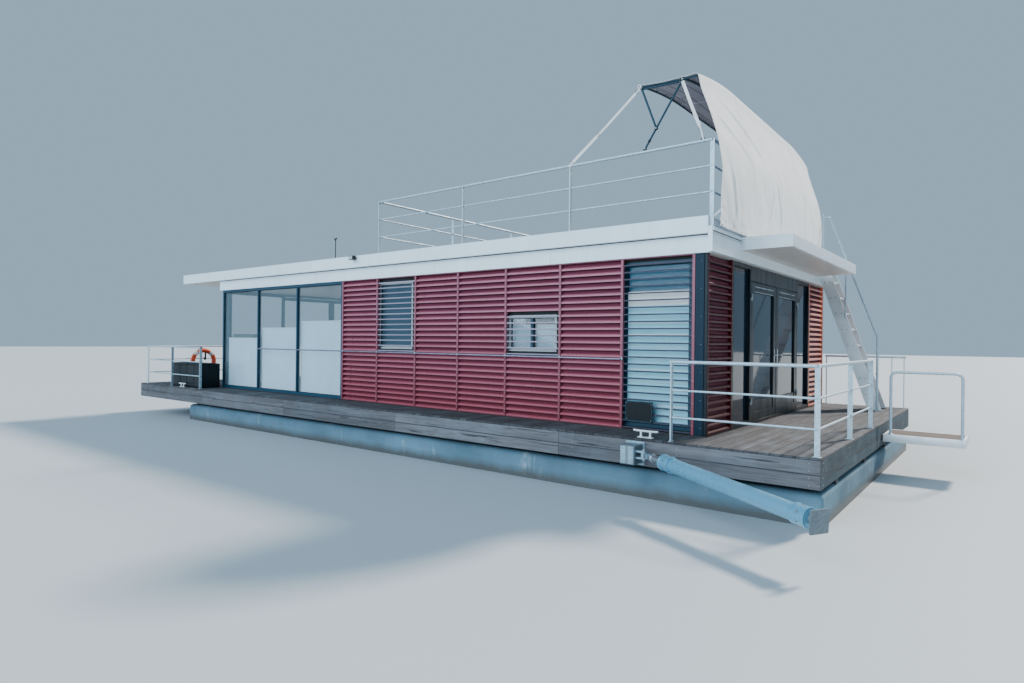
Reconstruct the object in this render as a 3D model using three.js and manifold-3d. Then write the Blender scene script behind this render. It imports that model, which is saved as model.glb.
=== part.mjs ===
// A houseboat: a flat-roofed glazed and louvred cabin on a concrete pontoon, with a timber deck all
// round, a terrace at each end and a railed terrace on the roof. Millimetres, +Z up. X runs from the
// lake end (-) to the boarding end (+), Y from the near side (-) to the far side (+), and the origin
// is the middle of the pontoon's flat bottom.
import * as THREE from 'three';
import Module from 'manifold-3d';
import { mergeVertices } from 'three/addons/utils/BufferGeometryUtils.js';

const wasm = await Module();
wasm.setup();

// Driving dimensions
const hull = { length: 14650, width: 6950, height: 1180, corner: 60 };
const deck = { lake: -9765, boarding: 7335, half: 3630, top: 1600, board: 28, fascia: 350 };
const cabin = { lake: -6705, boarding: 5795, near: -2970, far: 3490, floor: 1612, top: 4030 };
const roof = { lower: 4030, tier: 4270, top: 4500, bed: 4440, boards: 4468, lake: -8585, end: 5835 };
const roofSide = { near: -3070, far: 3590, upstand: 70 };
const lip = { inner: 5800, outer: 5895, bottom: 4030, top: 4360 };
const seat = 0.3;             // gap between pieces that rest on each other
const running = 10;           // gap round a door leaf
const wall = 110;             // thickness of the cabin's walls
const glass = 16;             // thickness of a double pane

// Louvre bays of the long sides: one post more than bays, the last bay in front of the tall window
const bay = { count: 7, pitch: 1068, post: 40, depth: 70, start: -1889 };
const slat = {
  count: 24, pitch: 100, first: 4, nose: 30, thick: 12, rise: 92, lean: 46, strip: 8, front: 9.5,
};
const louvreEnd = bay.start + bay.count * bay.pitch + bay.post;

// Windows in the louvred walls: the louvre bay they lie in, their sides along X, sill and head above
// the deck, sashes
const windows = [
  { name: 'tall', bay: 6, x0: 4530, x1: 5555, sill: 50, head: 2380, sashes: 1 },
  { name: 'small', bay: 4, x0: 2397, x1: 3360, sill: 1080, head: 1660, sashes: 2 },
  { name: 'middle', bay: 1, x0: -850, x1: 116, sill: 1070, head: 2350, sashes: 1 },
];

// Railings: heights of the bars above the surface that the posts stand on, tube radii, and the flat
// bar that the posts are cut from, with the height that it stands above the top bar's axis
const bars = [305, 645, 1000];
const tube = { post: 21, top: 21, bar: 13 };
const flat = { wide: 58, thick: 14, above: 12, tail: 25 };
const roofRail = { top: 5490, gap: 338, lake: -685, end: 5865, near: -3020, far: 3130, stair: 2480 };

// Colours from the photograph, with roughness and metalness
const finish = {
  concrete: [0x8d8f8c, 0.9, 0], timber: [0x8f8a80, 0.85, 0], louvre: [0x7a2a33, 0.5, 0.1],
  white: [0xe9e8e4, 0.5, 0], frame: [0x2b3a42, 0.45, 0.3],
  galvanised: [0xaeb5b9, 0.45, 0.8], aluminium: [0xc9cccd, 0.4, 0.8], steel: [0xb9c4ca, 0.3, 0.9],
  fabric: [0xd9d4c9, 0.9, 0], black: [0x202224, 0.6, 0], orange: [0xe5502a, 0.6, 0],
  floor: [0x9a8468, 0.6, 0], tubeDark: [0x2f4a56, 0.4, 0.6],
};

const boat = new THREE.Group();

// A closed geometry as a solid that can be joined and cut
function solid(geometry) {
  const bare = geometry.index ? geometry.toNonIndexed() : geometry.clone();
  bare.deleteAttribute('normal');
  bare.deleteAttribute('uv');
  const merged = mergeVertices(bare, 1e-3);
  return new wasm.Manifold(new wasm.Mesh({
    numProp: 3,
    vertProperties: new Float32Array(merged.attributes.position.array),
    triVerts: new Uint32Array(merged.index.array),
  }));
}

// A solid as a named mesh in its group
function piece(name, body, look, parent = boat) {
  const mesh = body.getMesh();
  const geometry = new THREE.BufferGeometry();
  geometry.setAttribute('position', new THREE.BufferAttribute(new Float32Array(mesh.vertProperties), 3));
  geometry.setIndex(new THREE.BufferAttribute(new Uint32Array(mesh.triVerts), 1));
  geometry.computeVertexNormals();
  const [color, roughness, metalness] = finish[look];
  const made = new THREE.Mesh(geometry, new THREE.MeshStandardMaterial({ color, roughness, metalness }));
  made.name = name;
  parent.add(made);
  return made;
}

function join(...parts) {
  return parts.flat().reduce((whole, part) => whole.add(part));
}

// A box between two corners
function box(x0, x1, y0, y1, z0, z1) {
  const geometry = new THREE.BoxGeometry(x1 - x0, y1 - y0, z1 - z0);
  geometry.translate((x0 + x1) / 2, (y0 + y1) / 2, (z0 + z1) / 2);
  return solid(geometry);
}

// The same with the two sides in Y given in either order
function boxY(x0, x1, ya, yb, z0, z1) {
  return box(x0, x1, Math.min(ya, yb), Math.max(ya, yb), z0, z1);
}

// A round bar between two points
function rod(a, b, radius, sides = 8) {
  const from = new THREE.Vector3(...a);
  const along = new THREE.Vector3(...b).sub(from);
  const geometry = new THREE.CylinderGeometry(radius, radius, along.length(), sides);
  geometry.translate(0, along.length() / 2, 0);
  geometry.applyQuaternion(new THREE.Quaternion().setFromUnitVectors(
    new THREE.Vector3(0, 1, 0), along.clone().normalize()));
  geometry.translate(...a);
  return solid(geometry);
}

// A hole for a round pin: its flats clear the pin by the seat
function hole(a, b, radius, sides = 16) {
  return rod(a, b, (radius + seat) / Math.cos(Math.PI / sides), sides);
}

// An outline of [x, y] points pulled along an axis: its own plane is YZ for X, XZ for Y, XY for Z
function pull(outline, axis, from, to) {
  const shape = new THREE.Shape(outline.map(([x, y]) => new THREE.Vector2(x, y)));
  const geometry = new THREE.ExtrudeGeometry(shape, { depth: to - from, bevelEnabled: false });
  const basis = {
    X: [new THREE.Vector3(0, 1, 0), new THREE.Vector3(0, 0, 1), new THREE.Vector3(1, 0, 0)],
    Y: [new THREE.Vector3(1, 0, 0), new THREE.Vector3(0, 0, 1), new THREE.Vector3(0, -1, 0)],
    Z: [new THREE.Vector3(1, 0, 0), new THREE.Vector3(0, 1, 0), new THREE.Vector3(0, 0, 1)],
  }[axis];
  geometry.applyMatrix4(new THREE.Matrix4().makeBasis(...basis));
  const start = { X: [from, 0, 0], Y: [0, to, 0], Z: [0, 0, from] }[axis];
  geometry.translate(...start);
  return solid(geometry);
}

// A tube along a row of points in one plane, given by the plane's normal, mitred at each point
function bentTube(points, normal, radius, sides = 6) {
  const path = points.map((p) => new THREE.Vector3(...p));
  const flat = new THREE.Vector3(...normal);
  const positions = [];
  path.forEach((p, i) => {
    const before = p.clone().sub(path[Math.max(i - 1, 0)]).normalize();
    const after = path[Math.min(i + 1, path.length - 1)].clone().sub(p).normalize();
    const along = before.clone().add(after).normalize();
    const across = flat.clone().cross(along);
    const stretch = i === 0 || i === path.length - 1 ? 1 : 1 / along.dot(after);
    for (let k = 0; k < sides; k += 1) {
      const turn = (k / sides) * 2 * Math.PI;
      positions.push(p.clone().addScaledVector(across, radius * stretch * Math.cos(turn))
        .addScaledVector(flat, radius * Math.sin(turn)));
    }
  });
  const faces = [];
  for (let i = 0; i + 1 < path.length; i += 1) {
    for (let k = 0; k < sides; k += 1) {
      const [a, b] = [i * sides + k, i * sides + ((k + 1) % sides)];
      faces.push(a, a + sides, b + sides, a, b + sides, b);
    }
  }
  const last = (path.length - 1) * sides;
  for (let k = 1; k + 1 < sides; k += 1) {
    faces.push(0, k, k + 1, last, last + k + 1, last + k);
  }
  const geometry = new THREE.BufferGeometry().setFromPoints(positions);
  geometry.setIndex(faces);
  const body = solid(geometry);
  return body.volume() > 0 ? body : solid(flipped(geometry));
}

// The same geometry with its faces turned over
function flipped(geometry) {
  const turned = geometry.clone();
  const index = Array.from(geometry.index.array);
  for (let i = 0; i < index.length; i += 3) {
    [index[i], index[i + 1]] = [index[i + 1], index[i]];
  }
  turned.setIndex(index);
  return turned;
}

// Mirrors a solid across the plane Y = at
function mirrorY(body, at) {
  return body.mirror([0, 1, 0]).translate([0, 2 * at, 0]);
}

// A glazed frame lying along X from 0, its front at y = 0: outer ring, mullions and thin panes
function glazing(width, height, depth, member, panes) {
  const pitch = (width - member) / panes;
  const cuts = Array.from({ length: panes }, (_, i) => box(
    member + i * pitch, (i + 1) * pitch, -1, depth + 1, member, height - member));
  const ring = cuts.reduce((left, cut) => left.subtract(cut), box(0, width, 0, depth, 0, height));
  const middle = depth / 2;
  return ring.add(box(member / 2, width - member / 2, middle - glass / 2, middle + glass / 2,
    member / 2, height - member / 2));
}

// Pontoon and deck

function pontoon() {
  const x = hull.length / 2;
  const y = hull.width / 2;
  const c = hull.corner;
  const outline = [[-x + c, -y], [x - c, -y], [x, -y + c], [x, y - c], [x - c, y], [-x + c, y],
    [-x, y - c], [-x, -y + c]];
  piece('pontoon', pull(outline, 'Z', 0, hull.height), 'concrete');
}

// Edge boards all round, bearers along the boat on the pontoon, and joists across them
function deckFrame() {
  const thick = 45;
  const bottom = deck.top - deck.fascia;
  const top = deck.top - deck.board;
  const edge = box(deck.lake, deck.boarding, -deck.half, deck.half, bottom, top).subtract(box(
    deck.lake + thick, deck.boarding - thick, -deck.half + thick, deck.half - thick, bottom - 1, top + 1));
  const bearerTop = 1400;
  const outboard = hull.length / 2 + 15;
  const bearers = [-2700, -900, 900, 2700].map((y) => join(
    box(deck.lake + 20, deck.boarding - 20, y - 60, y + 60, hull.height + seat, bearerTop),
    box(deck.lake + 20, 20 - outboard, y - 60, y + 60, hull.height + seat, top)));
  const joistCount = 9;
  const joists = evenly(50 - outboard, outboard - 150, joistCount).map((x) => box(
    x - 40, x + 40, -deck.half + 20, deck.half - 20, bearerTop - 20, top - 10));
  piece('deck_frame', join(edge, bearers, joists, gangwayLugs()), 'timber');
}

function deckBoards() {
  const boards = box(deck.lake, deck.boarding, -deck.half, deck.half, deck.top - deck.board + seat, deck.top);
  const gap = seat;
  const footprint = box(cabin.lake - gap, cabin.boarding + gap, cabin.near - gap, cabin.far + gap, 1500, 1700);
  piece('deck_boards', boards.subtract(footprint), 'timber');
  piece('cabin_floor', box(cabin.lake, cabin.boarding, cabin.near, cabin.far,
    deck.top - deck.board + seat, cabin.floor), 'floor');
}

// A mooring cleat: a foot plate, two legs and a crossbar
function cleat(name, x, y) {
  const foot = box(-110, 110, -32, 32, seat, 10);
  const legs = [-65, 65].map((at) => box(at - 14, at + 14, -14, 14, 8, 80));
  const bar = rod([-175, 0, 86], [175, 0, 86], 13);
  piece(name, join(foot, legs, bar), 'white').position.set(x, y, deck.top);
}

// Cabin walls

const wallFront = 90;         // from a wall's outer plane back to the front of its core
const coreBottom = cabin.floor + seat;
const coreTop = cabin.top - seat;

function longWall(name, side) {
  const front = side < 0 ? cabin.near + wallFront : cabin.far - wallFront;
  const back = front - side * wall;
  const [y0, y1] = [Math.min(front, back), Math.max(front, back)];
  const core = box(bay.start, cabin.boarding - 185 - seat, y0, y1, coreBottom, coreTop);
  const cuts = windows.map((w) => box(w.x0 - seat, w.x1 + seat, y0 - 1, y1 + 1,
    deck.top + w.sill - seat, deck.top + w.head + seat));
  piece(name, cuts.reduce((left, cut) => left.subtract(cut), core), 'white');
}

function windowUnits() {
  const depth = 70;
  for (const [side, word] of [[-1, 'near'], [1, 'far']]) {
    for (const w of windows) {
      const unit = glazing(w.x1 - w.x0, w.head - w.sill, depth, 50, w.sashes);
      const made = piece(`window_${w.name}_${word}`, unit, 'frame');
      const front = side < 0 ? cabin.near + wallFront + 5 : cabin.far - wallFront - 5;
      made.position.set(side < 0 ? w.x0 : w.x1, front, deck.top + w.sill);
      made.rotation.z = side < 0 ? 0 : Math.PI;
    }
  }
}

// Outlines of the louvre slats across the wall: a blade with an upright nose, and the thin level
// slat that lies in front of a window
function slatOutline(row, level, front) {
  const z = slat.first + row * slat.pitch;
  const blade = [[0, 0], [slat.thick, 0], [slat.lean + slat.thick - 2, slat.rise], [slat.lean, slat.rise],
    [0, slat.nose]];
  const thin = [[0, 8], [58, 14], [58, 24], [0, 26]];
  return (level ? thin : blade).map(([y, up]) => [front + y, up + z]);
}

// Whether a row of slats lies level in a bay, because a window is behind it
function isLevel(row, column) {
  const z = coreBottom - deck.top + slat.first + row * slat.pitch;
  return windows.some((w) => w.bay === column && z > w.sill - slat.rise && z < w.head - slat.nose);
}

// Slats of a long side from x = 0, their noses behind the strips, with upright carriers at both ends
// and wherever a window's level slats begin
function longLouvres() {
  const carrier = (x, rows) => box(x, x + 16, slat.strip + seat, bay.depth, rows[0] * slat.pitch,
    slat.first + rows[1] * slat.pitch + slat.rise + 2);
  const parts = [];
  for (let row = 0; row < slat.count; row += 1) {
    let from = 0;
    for (let column = 0; column < bay.count; column += 1) {
      const last = column === bay.count - 1;
      if (last || isLevel(row, column) !== isLevel(row, column + 1)) {
        const to = (column + 1) * bay.pitch;
        parts.push(pull(slatOutline(row, isLevel(row, column), slat.front), 'X', from + 20, to + 20));
        from = to;
      }
    }
  }
  const carriers = [carrier(12, [0, slat.count - 1]),
    carrier(bay.count * bay.pitch + 12, [0, slat.count - 1])];
  for (let post = 1; post < bay.count; post += 1) {
    const rows = Array.from({ length: slat.count }, (_, row) => row)
      .filter((row) => isLevel(row, post - 1) !== isLevel(row, post));
    if (rows.length) {
      carriers.push(carrier(post * bay.pitch + 12, [rows[0], rows[rows.length - 1]]));
    }
  }
  return join(parts, carriers);
}

const louvreHeight = coreTop - coreBottom;

// Front strips over the bays' joints, hung from a top rail
function louvreStrips() {
  const strips = Array.from({ length: bay.count + 1 }, (_, i) => box(
    i * bay.pitch, i * bay.pitch + bay.post, 0, slat.strip, 0, louvreHeight));
  const rail = box(0, bay.count * bay.pitch + bay.post, 0, bay.depth,
    slat.first + slat.count * slat.pitch, louvreHeight);
  return join(rail, strips);
}

// A single bay whose posts carry the blades
function endLouvres(width) {
  const posts = [0, width - bay.post].map((x) => box(x, x + bay.post, 0, bay.depth, 0, louvreHeight));
  const blades = Array.from({ length: slat.count }, (_, row) => pull(
    slatOutline(row, false, 5), 'X', bay.post - 10, width - bay.post + 10));
  return join(posts, blades);
}

function louvres() {
  for (const [name, make] of [['louvre_strips', louvreStrips], ['louvres', longLouvres]]) {
    const body = make();
    piece(`${name}_near`, body, 'louvre').position.set(bay.start, cabin.near, coreBottom);
    piece(`${name}_far`, mirrorY(body, 0), 'louvre').position.set(bay.start, cabin.far, coreBottom);
  }
  for (const [name, y0, y1] of [['louvres_end_near', -2930, -2000], ['louvres_end_far', 2320, 3450]]) {
    const panel = piece(name, endLouvres(y1 - y0), 'louvre');
    panel.position.set(cabin.boarding, y0, coreBottom);
    panel.rotation.z = Math.PI / 2;
  }
}

// Boarding end: solid wall behind each louvre panel with its corner plate, and between them the
// dark screen with fixed side panes and the double door
const screen = { near: -1990, far: 2310, doorNear: -1170, doorFar: 1430, head: 3800, depth: 100, post: 60 };
const endCore = cabin.boarding - 185;

function endWalls() {
  for (const [name, side, inner, outer] of [
    ['end_wall_near', -1, screen.near - seat, cabin.near + 5],
    ['end_wall_far', 1, screen.far + seat, cabin.far - 5]]) {
    const behind = outer - side * (wallFront - 5);
    const core = boxY(endCore, cabin.boarding - 85, inner, behind, coreBottom, coreTop);
    const corner = boxY(louvreEnd + 1, cabin.boarding - 85, behind - side, outer, coreBottom, coreTop);
    const plate = boxY(louvreEnd + 1, cabin.boarding, outer - side * 30, outer, coreBottom, coreTop);
    piece(name, join(core, corner, plate), 'frame');
  }
}

const hingeHeights = [300, 1900];

function doorScreen() {
  const x1 = cabin.boarding - 5;
  const x0 = x1 - screen.depth;
  const frame = box(x0, x1, screen.near, screen.far, coreBottom, coreTop);
  const door = box(x0 - 1, x1 + 1, screen.doorNear, screen.doorFar, coreBottom + 30, screen.head);
  const sides = [[screen.near, screen.doorNear], [screen.doorFar, screen.far]].map(([a, b]) => box(
    x0 - 1, x1 + 1, a + screen.post, b - screen.post, coreBottom + 80, coreTop - 80));
  const panes = [[screen.near, screen.doorNear], [screen.doorFar, screen.far]].map(([a, b]) => box(
    x0 + 42, x0 + 42 + glass, a + 20, b - 20, coreBottom + 40, coreTop - 40));
  const cut = sides.reduce((left, side) => left.subtract(side), frame.subtract(door));
  piece('door_screen', join(cut, panes, doorHinges(false)), 'frame');
}

// Lift-off hinges of the double door: the frame's knuckle with its pin, or the leaf's knuckle over it
const doorAxis = { x: cabin.boarding + 8, inset: 3 };

function doorHinges(leaf, only = 0) {
  const knuckle = 12;
  const pin = 5;
  const parts = [];
  for (const side of only ? [only] : [-1, 1]) {
    const y = side < 0 ? screen.doorNear + doorAxis.inset : screen.doorFar - doorAxis.inset;
    for (const up of hingeHeights) {
      const z = deck.top + up;
      const outward = side * 40;
      if (leaf) {
        const block = box(cabin.boarding - 20, doorAxis.x + 4, Math.min(y, y - outward),
          Math.max(y, y - outward), z + 50 + seat, z + 100);
        const barrel = rod([doorAxis.x, y, z + 50 + seat], [doorAxis.x, y, z + 100], knuckle, 12);
        parts.push(join(block, barrel).subtract(
          hole([doorAxis.x, y, z + 40], [doorAxis.x, y, z + 110], pin)));
      } else {
        const block = box(cabin.boarding - 20, doorAxis.x + 4, Math.min(y, y + outward),
          Math.max(y, y + outward), z, z + 50);
        const barrel = rod([doorAxis.x, y, z], [doorAxis.x, y, z + 50], knuckle, 12);
        parts.push(join(block, barrel, rod([doorAxis.x, y, z + 40], [doorAxis.x, y, z + 96], pin, 16)));
      }
    }
  }
  return join(parts);
}

function doorLeaves() {
  const middle = (screen.doorNear + screen.doorFar) / 2;
  const depth = 60;
  for (const [name, side] of [['door_near', -1], ['door_far', 1]]) {
    const hinged = side < 0 ? screen.doorNear + 6 : screen.doorFar - 6;
    const meeting = middle + side * running;
    const [y0, y1] = [Math.min(hinged, meeting), Math.max(hinged, meeting)];
    const z0 = coreBottom + 30 + running;
    const unit = glazing(y1 - y0, screen.head - running - z0, depth, 150, 1);
    const leaf = unit.rotate([0, 0, 90]).translate([cabin.boarding - 5, y0, z0]);
    const grip = { x: cabin.boarding + 45, y: meeting + side * 75, z: deck.top + 1050, radius: 9 };
    const handle = join(
      rod([cabin.boarding - 8, grip.y, grip.z], [grip.x, grip.y, grip.z], grip.radius, 8),
      rod([grip.x, grip.y - side * grip.radius, grip.z], [grip.x, grip.y + side * 120, grip.z], grip.radius, 8));
    piece(name, join(leaf, doorHinges(true, side), handle), 'frame');
  }
}

// Glazed lake end of the cabin: three panes on each long side, and across the end two fixed panes
// with two leaves that slide past them
const sideGlass = { depth: 80, member: 60 };

function lakeGlazing() {
  const height = coreTop - coreBottom;
  const width = bay.start - seat - cabin.lake;
  const near = piece('glazing_near', glazing(width, height, sideGlass.depth, sideGlass.member, 3), 'frame');
  near.position.set(cabin.lake, cabin.near + 10, coreBottom);
  const far = piece('glazing_far', glazing(width, height, sideGlass.depth, sideGlass.member, 3), 'frame');
  far.position.set(bay.start - seat, cabin.far - 10, coreBottom);
  far.rotation.z = Math.PI;
}

const lakeEnd = { depth: 150, member: 60, sill: 50, leafDepth: 50 };
const lakeNear = cabin.near + 10 + sideGlass.depth + seat;
const lakeFar = cabin.far - 10 - sideGlass.depth - seat;

// Fixed frame: outer ring, two fixed panes behind, and an open middle that the leaves close
function lakeScreen() {
  const x0 = cabin.lake;
  const x1 = x0 + lakeEnd.depth;
  const quarter = (lakeFar - lakeNear) / 4;
  const ring = box(x0, x1, lakeNear, lakeFar, coreBottom, coreTop).subtract(box(
    x0 - 1, x1 + 1, lakeNear + lakeEnd.member, lakeFar - lakeEnd.member,
    coreBottom + lakeEnd.sill, coreTop - lakeEnd.member));
  const fixedX = [x1 - 60, x1];
  const fixed = [[lakeNear, lakeNear + quarter], [lakeFar - quarter, lakeFar]].map(([a, b]) => {
    const solidPane = box(...fixedX, a + 20, b, coreBottom + 20, coreTop - 20);
    const cut = box(x1 - 61, x1 + 1, a + lakeEnd.member, b - lakeEnd.member,
      coreBottom + lakeEnd.sill + 60, coreTop - 120);
    const pane = box(x1 - 38, x1 - 38 + glass, a + 40, b - 40, coreBottom + 90, coreTop - 100);
    return join(solidPane.subtract(cut), pane);
  });
  piece('lake_screen', join(ring, fixed), 'frame');
}

function lakeLeaves() {
  const quarter = (lakeFar - lakeNear) / 4;
  const middle = (lakeNear + lakeFar) / 2;
  const z0 = coreBottom + lakeEnd.sill + seat;
  const height = coreTop - lakeEnd.member - 8 - z0;
  for (const [name, a, b] of [
    ['lake_door_near', middle - quarter - 30, middle - 5],
    ['lake_door_far', middle + 5, middle + quarter + 30]]) {
    const unit = glazing(b - a, height, lakeEnd.leafDepth, 80, 1);
    const leaf = unit.rotate([0, 0, 90]).translate([cabin.lake + 20 + lakeEnd.leafDepth, a, z0]);
    piece(name, leaf, 'frame');
  }
}

// Roof: the lower tier over the cabin, the wide upper tier with its upstand and end lip, the boards
// of the roof terrace, and the box awning over the boarding doors

function roofTiers() {
  piece('roof_lower', box(-6805, roof.end - seat, cabin.near - 20, cabin.far + 20,
    roof.lower, roof.tier - seat), 'white');
  const slab = box(roof.lake, roof.end, roofSide.near, roofSide.far, roof.tier, roof.top);
  const bed = box(roof.lake + roofSide.upstand, roof.end - roofSide.upstand, roofSide.near + roofSide.upstand,
    roofSide.far - roofSide.upstand, roof.bed, roof.top + 10);
  const lipTop = box(lip.inner, lip.outer, roofSide.near, roofSide.far, roof.tier, lip.top);
  const lipDrop = box(roof.end, lip.outer, roofSide.near, roofSide.far, lip.bottom, lip.top);
  piece('roof_upper', join(slab.subtract(bed), lipTop, lipDrop), 'white');
  piece('roof_boards', box(roofRail.lake - 80, roof.end - roofSide.upstand - seat,
    roofSide.near + roofSide.upstand + seat, roofSide.far - roofSide.upstand - seat,
    roof.bed + seat, roof.boards), 'timber');
}

function porchAwning() {
  piece('porch_awning', box(lip.outer + seat, 6595, -1970, 2380, 4170, 4350), 'white');
}

// Railings

// Posts and level bars along a row of [x, y] corners. Each post stands on its own floor height, with
// its broad sides square to the bars, or to the bars along Y at a corner
function fence(corners, posts, barHeights, floorAt) {
  const endRuns = corners.slice(1).filter(([x], i) => x === corners[i][0]).map(([x]) => x);
  const parts = posts.map(([x, y]) => {
    const [halfX, halfY] = (endRuns.includes(x) ? [flat.wide, flat.thick] : [flat.thick, flat.wide])
      .map((side) => side / 2);
    return box(x - halfX, x + halfX, y - halfY, y + halfY, floorAt(x, y) + seat,
      Math.max(...barHeights) + flat.above);
  });
  barHeights.forEach((z, level) => {
    const radius = level === barHeights.length - 1 ? tube.top : tube.bar;
    for (let i = 0; i + 1 < corners.length; i += 1) {
      parts.push(rod([...corners[i], z], [...corners[i + 1], z], radius, 6));
    }
  });
  return join(parts);
}

function evenly(from, to, count) {
  return Array.from({ length: count }, (_, i) => from + ((to - from) * i) / (count - 1));
}

function deckRailings() {
  const onDeck = () => deck.top;
  const heights = bars.map((up) => deck.top + up);
  const near = -3580;
  const corner = [7285, near];
  piece('railing_boarding', fence([[5585 - flat.tail, near], corner, [7285, flat.tail - 300]],
    [[5585, near], corner, [7285, -1820], [7285, -300]], heights, onDeck), 'galvanised');
  piece('railing_boarding_far', fence([[5850 - flat.tail, -near], [7255 + flat.tail, -near]],
    [[5850, -near], [7045, -near], [7255, -near]], [heights[2]], onDeck), 'galvanised');
  const lakeX = -9435;
  const cabinX = -6560;
  const alongEnd = evenly(near, -near, 6).slice(1, -1).map((y) => [lakeX, y]);
  const cabinEnd = cabinX + flat.tail;
  piece('railing_lake', fence([[cabinEnd, near], [lakeX, near], [lakeX, -near], [cabinEnd, -near]],
    [[cabinX, near], [-8035, near], [lakeX, near], ...alongEnd, [lakeX, -near], [-8035, -near], [cabinX, -near]],
    heights, onDeck), 'galvanised');
}

function roofRailing() {
  const r = roofRail;
  const heights = [r.top - 2 * r.gap, r.top - r.gap, r.top];
  const floorAt = (x, y) => {
    if (x > roof.end) return lip.top;
    return y < roofSide.near + roofSide.upstand ? roof.top : roof.boards;
  };
  const alongX = evenly(r.lake, r.end, 4);
  const across = evenly(r.near, r.far, 4);
  const stairPost = alongX[2];
  const near = fence([[r.end, r.stair], [r.end, r.near], [r.lake, r.near]],
    [...alongX.map((x) => [x, r.near]), ...evenly(r.near, r.stair, 4).slice(1).map((y) => [r.end, y])],
    heights, floorAt);
  const guard = fence([[stairPost, r.stair], [r.end, r.stair]], [[stairPost, r.stair]], heights, floorAt);
  piece('railing_roof_near', join(near, guard), 'galvanised');
  piece('railing_roof_far', fence([[r.lake, r.near + flat.wide / 2 + seat], [r.lake, r.far], [r.end, r.far]],
    [...alongX.map((x) => [x, r.far]), ...across.slice(1, -1).map((y) => [r.lake, y])],
    heights, floorAt), 'galvanised');
}

// Grab rail along the cabin, on a stud at each louvre post
function grabRail(name, side) {
  const face = side < 0 ? cabin.near : cabin.far;
  const y = face + side * 60;
  const z = deck.top + 1000;
  const studs = [-4973, ...Array.from({ length: bay.count }, (_, i) => bay.start + bay.post / 2 + i * bay.pitch)];
  const last = studs[studs.length - 1];
  const gap = (x) => (x < bay.start ? -10 : 0);
  piece(name, join(rod([studs[0] - 20, y, z], [last + 20, y, z], 13),
    studs.map((x) => rod([x, y, z], [x, face + side * (seat + gap(x)), z], 9, 8))), 'galvanised');
}

// Stair from the boarding terrace to the roof: two flat stringers, treads and a landing
const stair = { near: 2560, far: 3130, plate: 30, foot: 6905, lean: 0.34, half: 115, rise: 310, treads: 8 };

function roofStair() {
  const centre = (z) => stair.foot - stair.lean * (z - deck.top);
  const bottom = deck.top + seat;
  const top = roof.top;
  const outline = [[centre(bottom) - stair.half, bottom], [centre(bottom) + stair.half, bottom],
    [centre(top) + stair.half, top], [centre(top) - stair.half, top]];
  const stringers = [stair.near, stair.far - stair.plate].map((y) => pull(outline, 'Y', y, y + stair.plate));
  const treads = Array.from({ length: stair.treads }, (_, i) => {
    const z = deck.top + stair.rise * (i + 1);
    return box(centre(z) - 95, centre(z) + 95, stair.near + 10, stair.far - 10, z - 30, z);
  });
  const landing = box(lip.outer + seat, 6120, stair.near + 10, stair.far - 10, 4330, 4360);
  piece('roof_stair', join(stringers, treads, landing).subtract(
    box(5000, lip.outer + seat, 2000, 3600, 3000, 5000)), 'aluminium');
}

// Handrail on the stair's near side: a post, the sloped rail hooked to the roof railing, and a short
// upright, on brackets against the stringer
function stairHandrail() {
  const knee = { x: 6945, z: 2990 };
  const head = { x: 6095, z: 5330 };
  const y = stair.near - 26;
  const against = stair.near - seat;
  const along = (z) => knee.x + ((head.x - knee.x) * (z - knee.z)) / (head.z - knee.z);
  const short = { x: 6395, foot: 3360, top: 4500, slope: 2.75 };
  const parts = [
    rod([knee.x, y, deck.top + seat], [knee.x, y, knee.z + 8], tube.post),
    rod([knee.x, y, knee.z], [head.x, y, head.z], tube.post),
    rod([head.x + 6, y, head.z], [roofRail.end, y, head.z], tube.post),
    rod([roofRail.end, y, head.z], [roofRail.end, roofRail.stair + flat.thick / 2 + seat, head.z], tube.bar),
    rod([short.x, y, short.foot], [short.x, y, short.top - (short.x - along(short.top)) * short.slope], 15),
    rod([short.x, y, short.foot + 15], [short.x, against, short.foot + 15], 12),
    rod([knee.x, y, 1750], [knee.x, against, 1750], 12)];
  piece('stair_handrail', join(parts), 'aluminium');
}

// Sun canopy on the roof terrace: a tube frame standing on the rails, two stay straps, and one sheet
// that runs over the bows and hangs down to the roof's edge

const bimini = {
  near: roofRail.near, far: roofRail.stair, tube: 13, foot: roofRail.top + tube.top + seat,
  mainFoot: 4905, joint: [5070, 5785], front: [4835, 6400], elbow: [5445, 6370], rear: [5645, 6370],
  strutFoot: 5735, crown: 145, shoulder: 1400,
};

// Height that the bows gain at a distance along Y, from the corners to the level crown
function crownAt(y) {
  const edge = Math.min(y - bimini.near, bimini.far - y);
  const t = Math.min(Math.max(edge / bimini.shoulder, 0), 1);
  return bimini.crown * Math.sin((t * Math.PI) / 2) ** 0.8;
}

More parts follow.
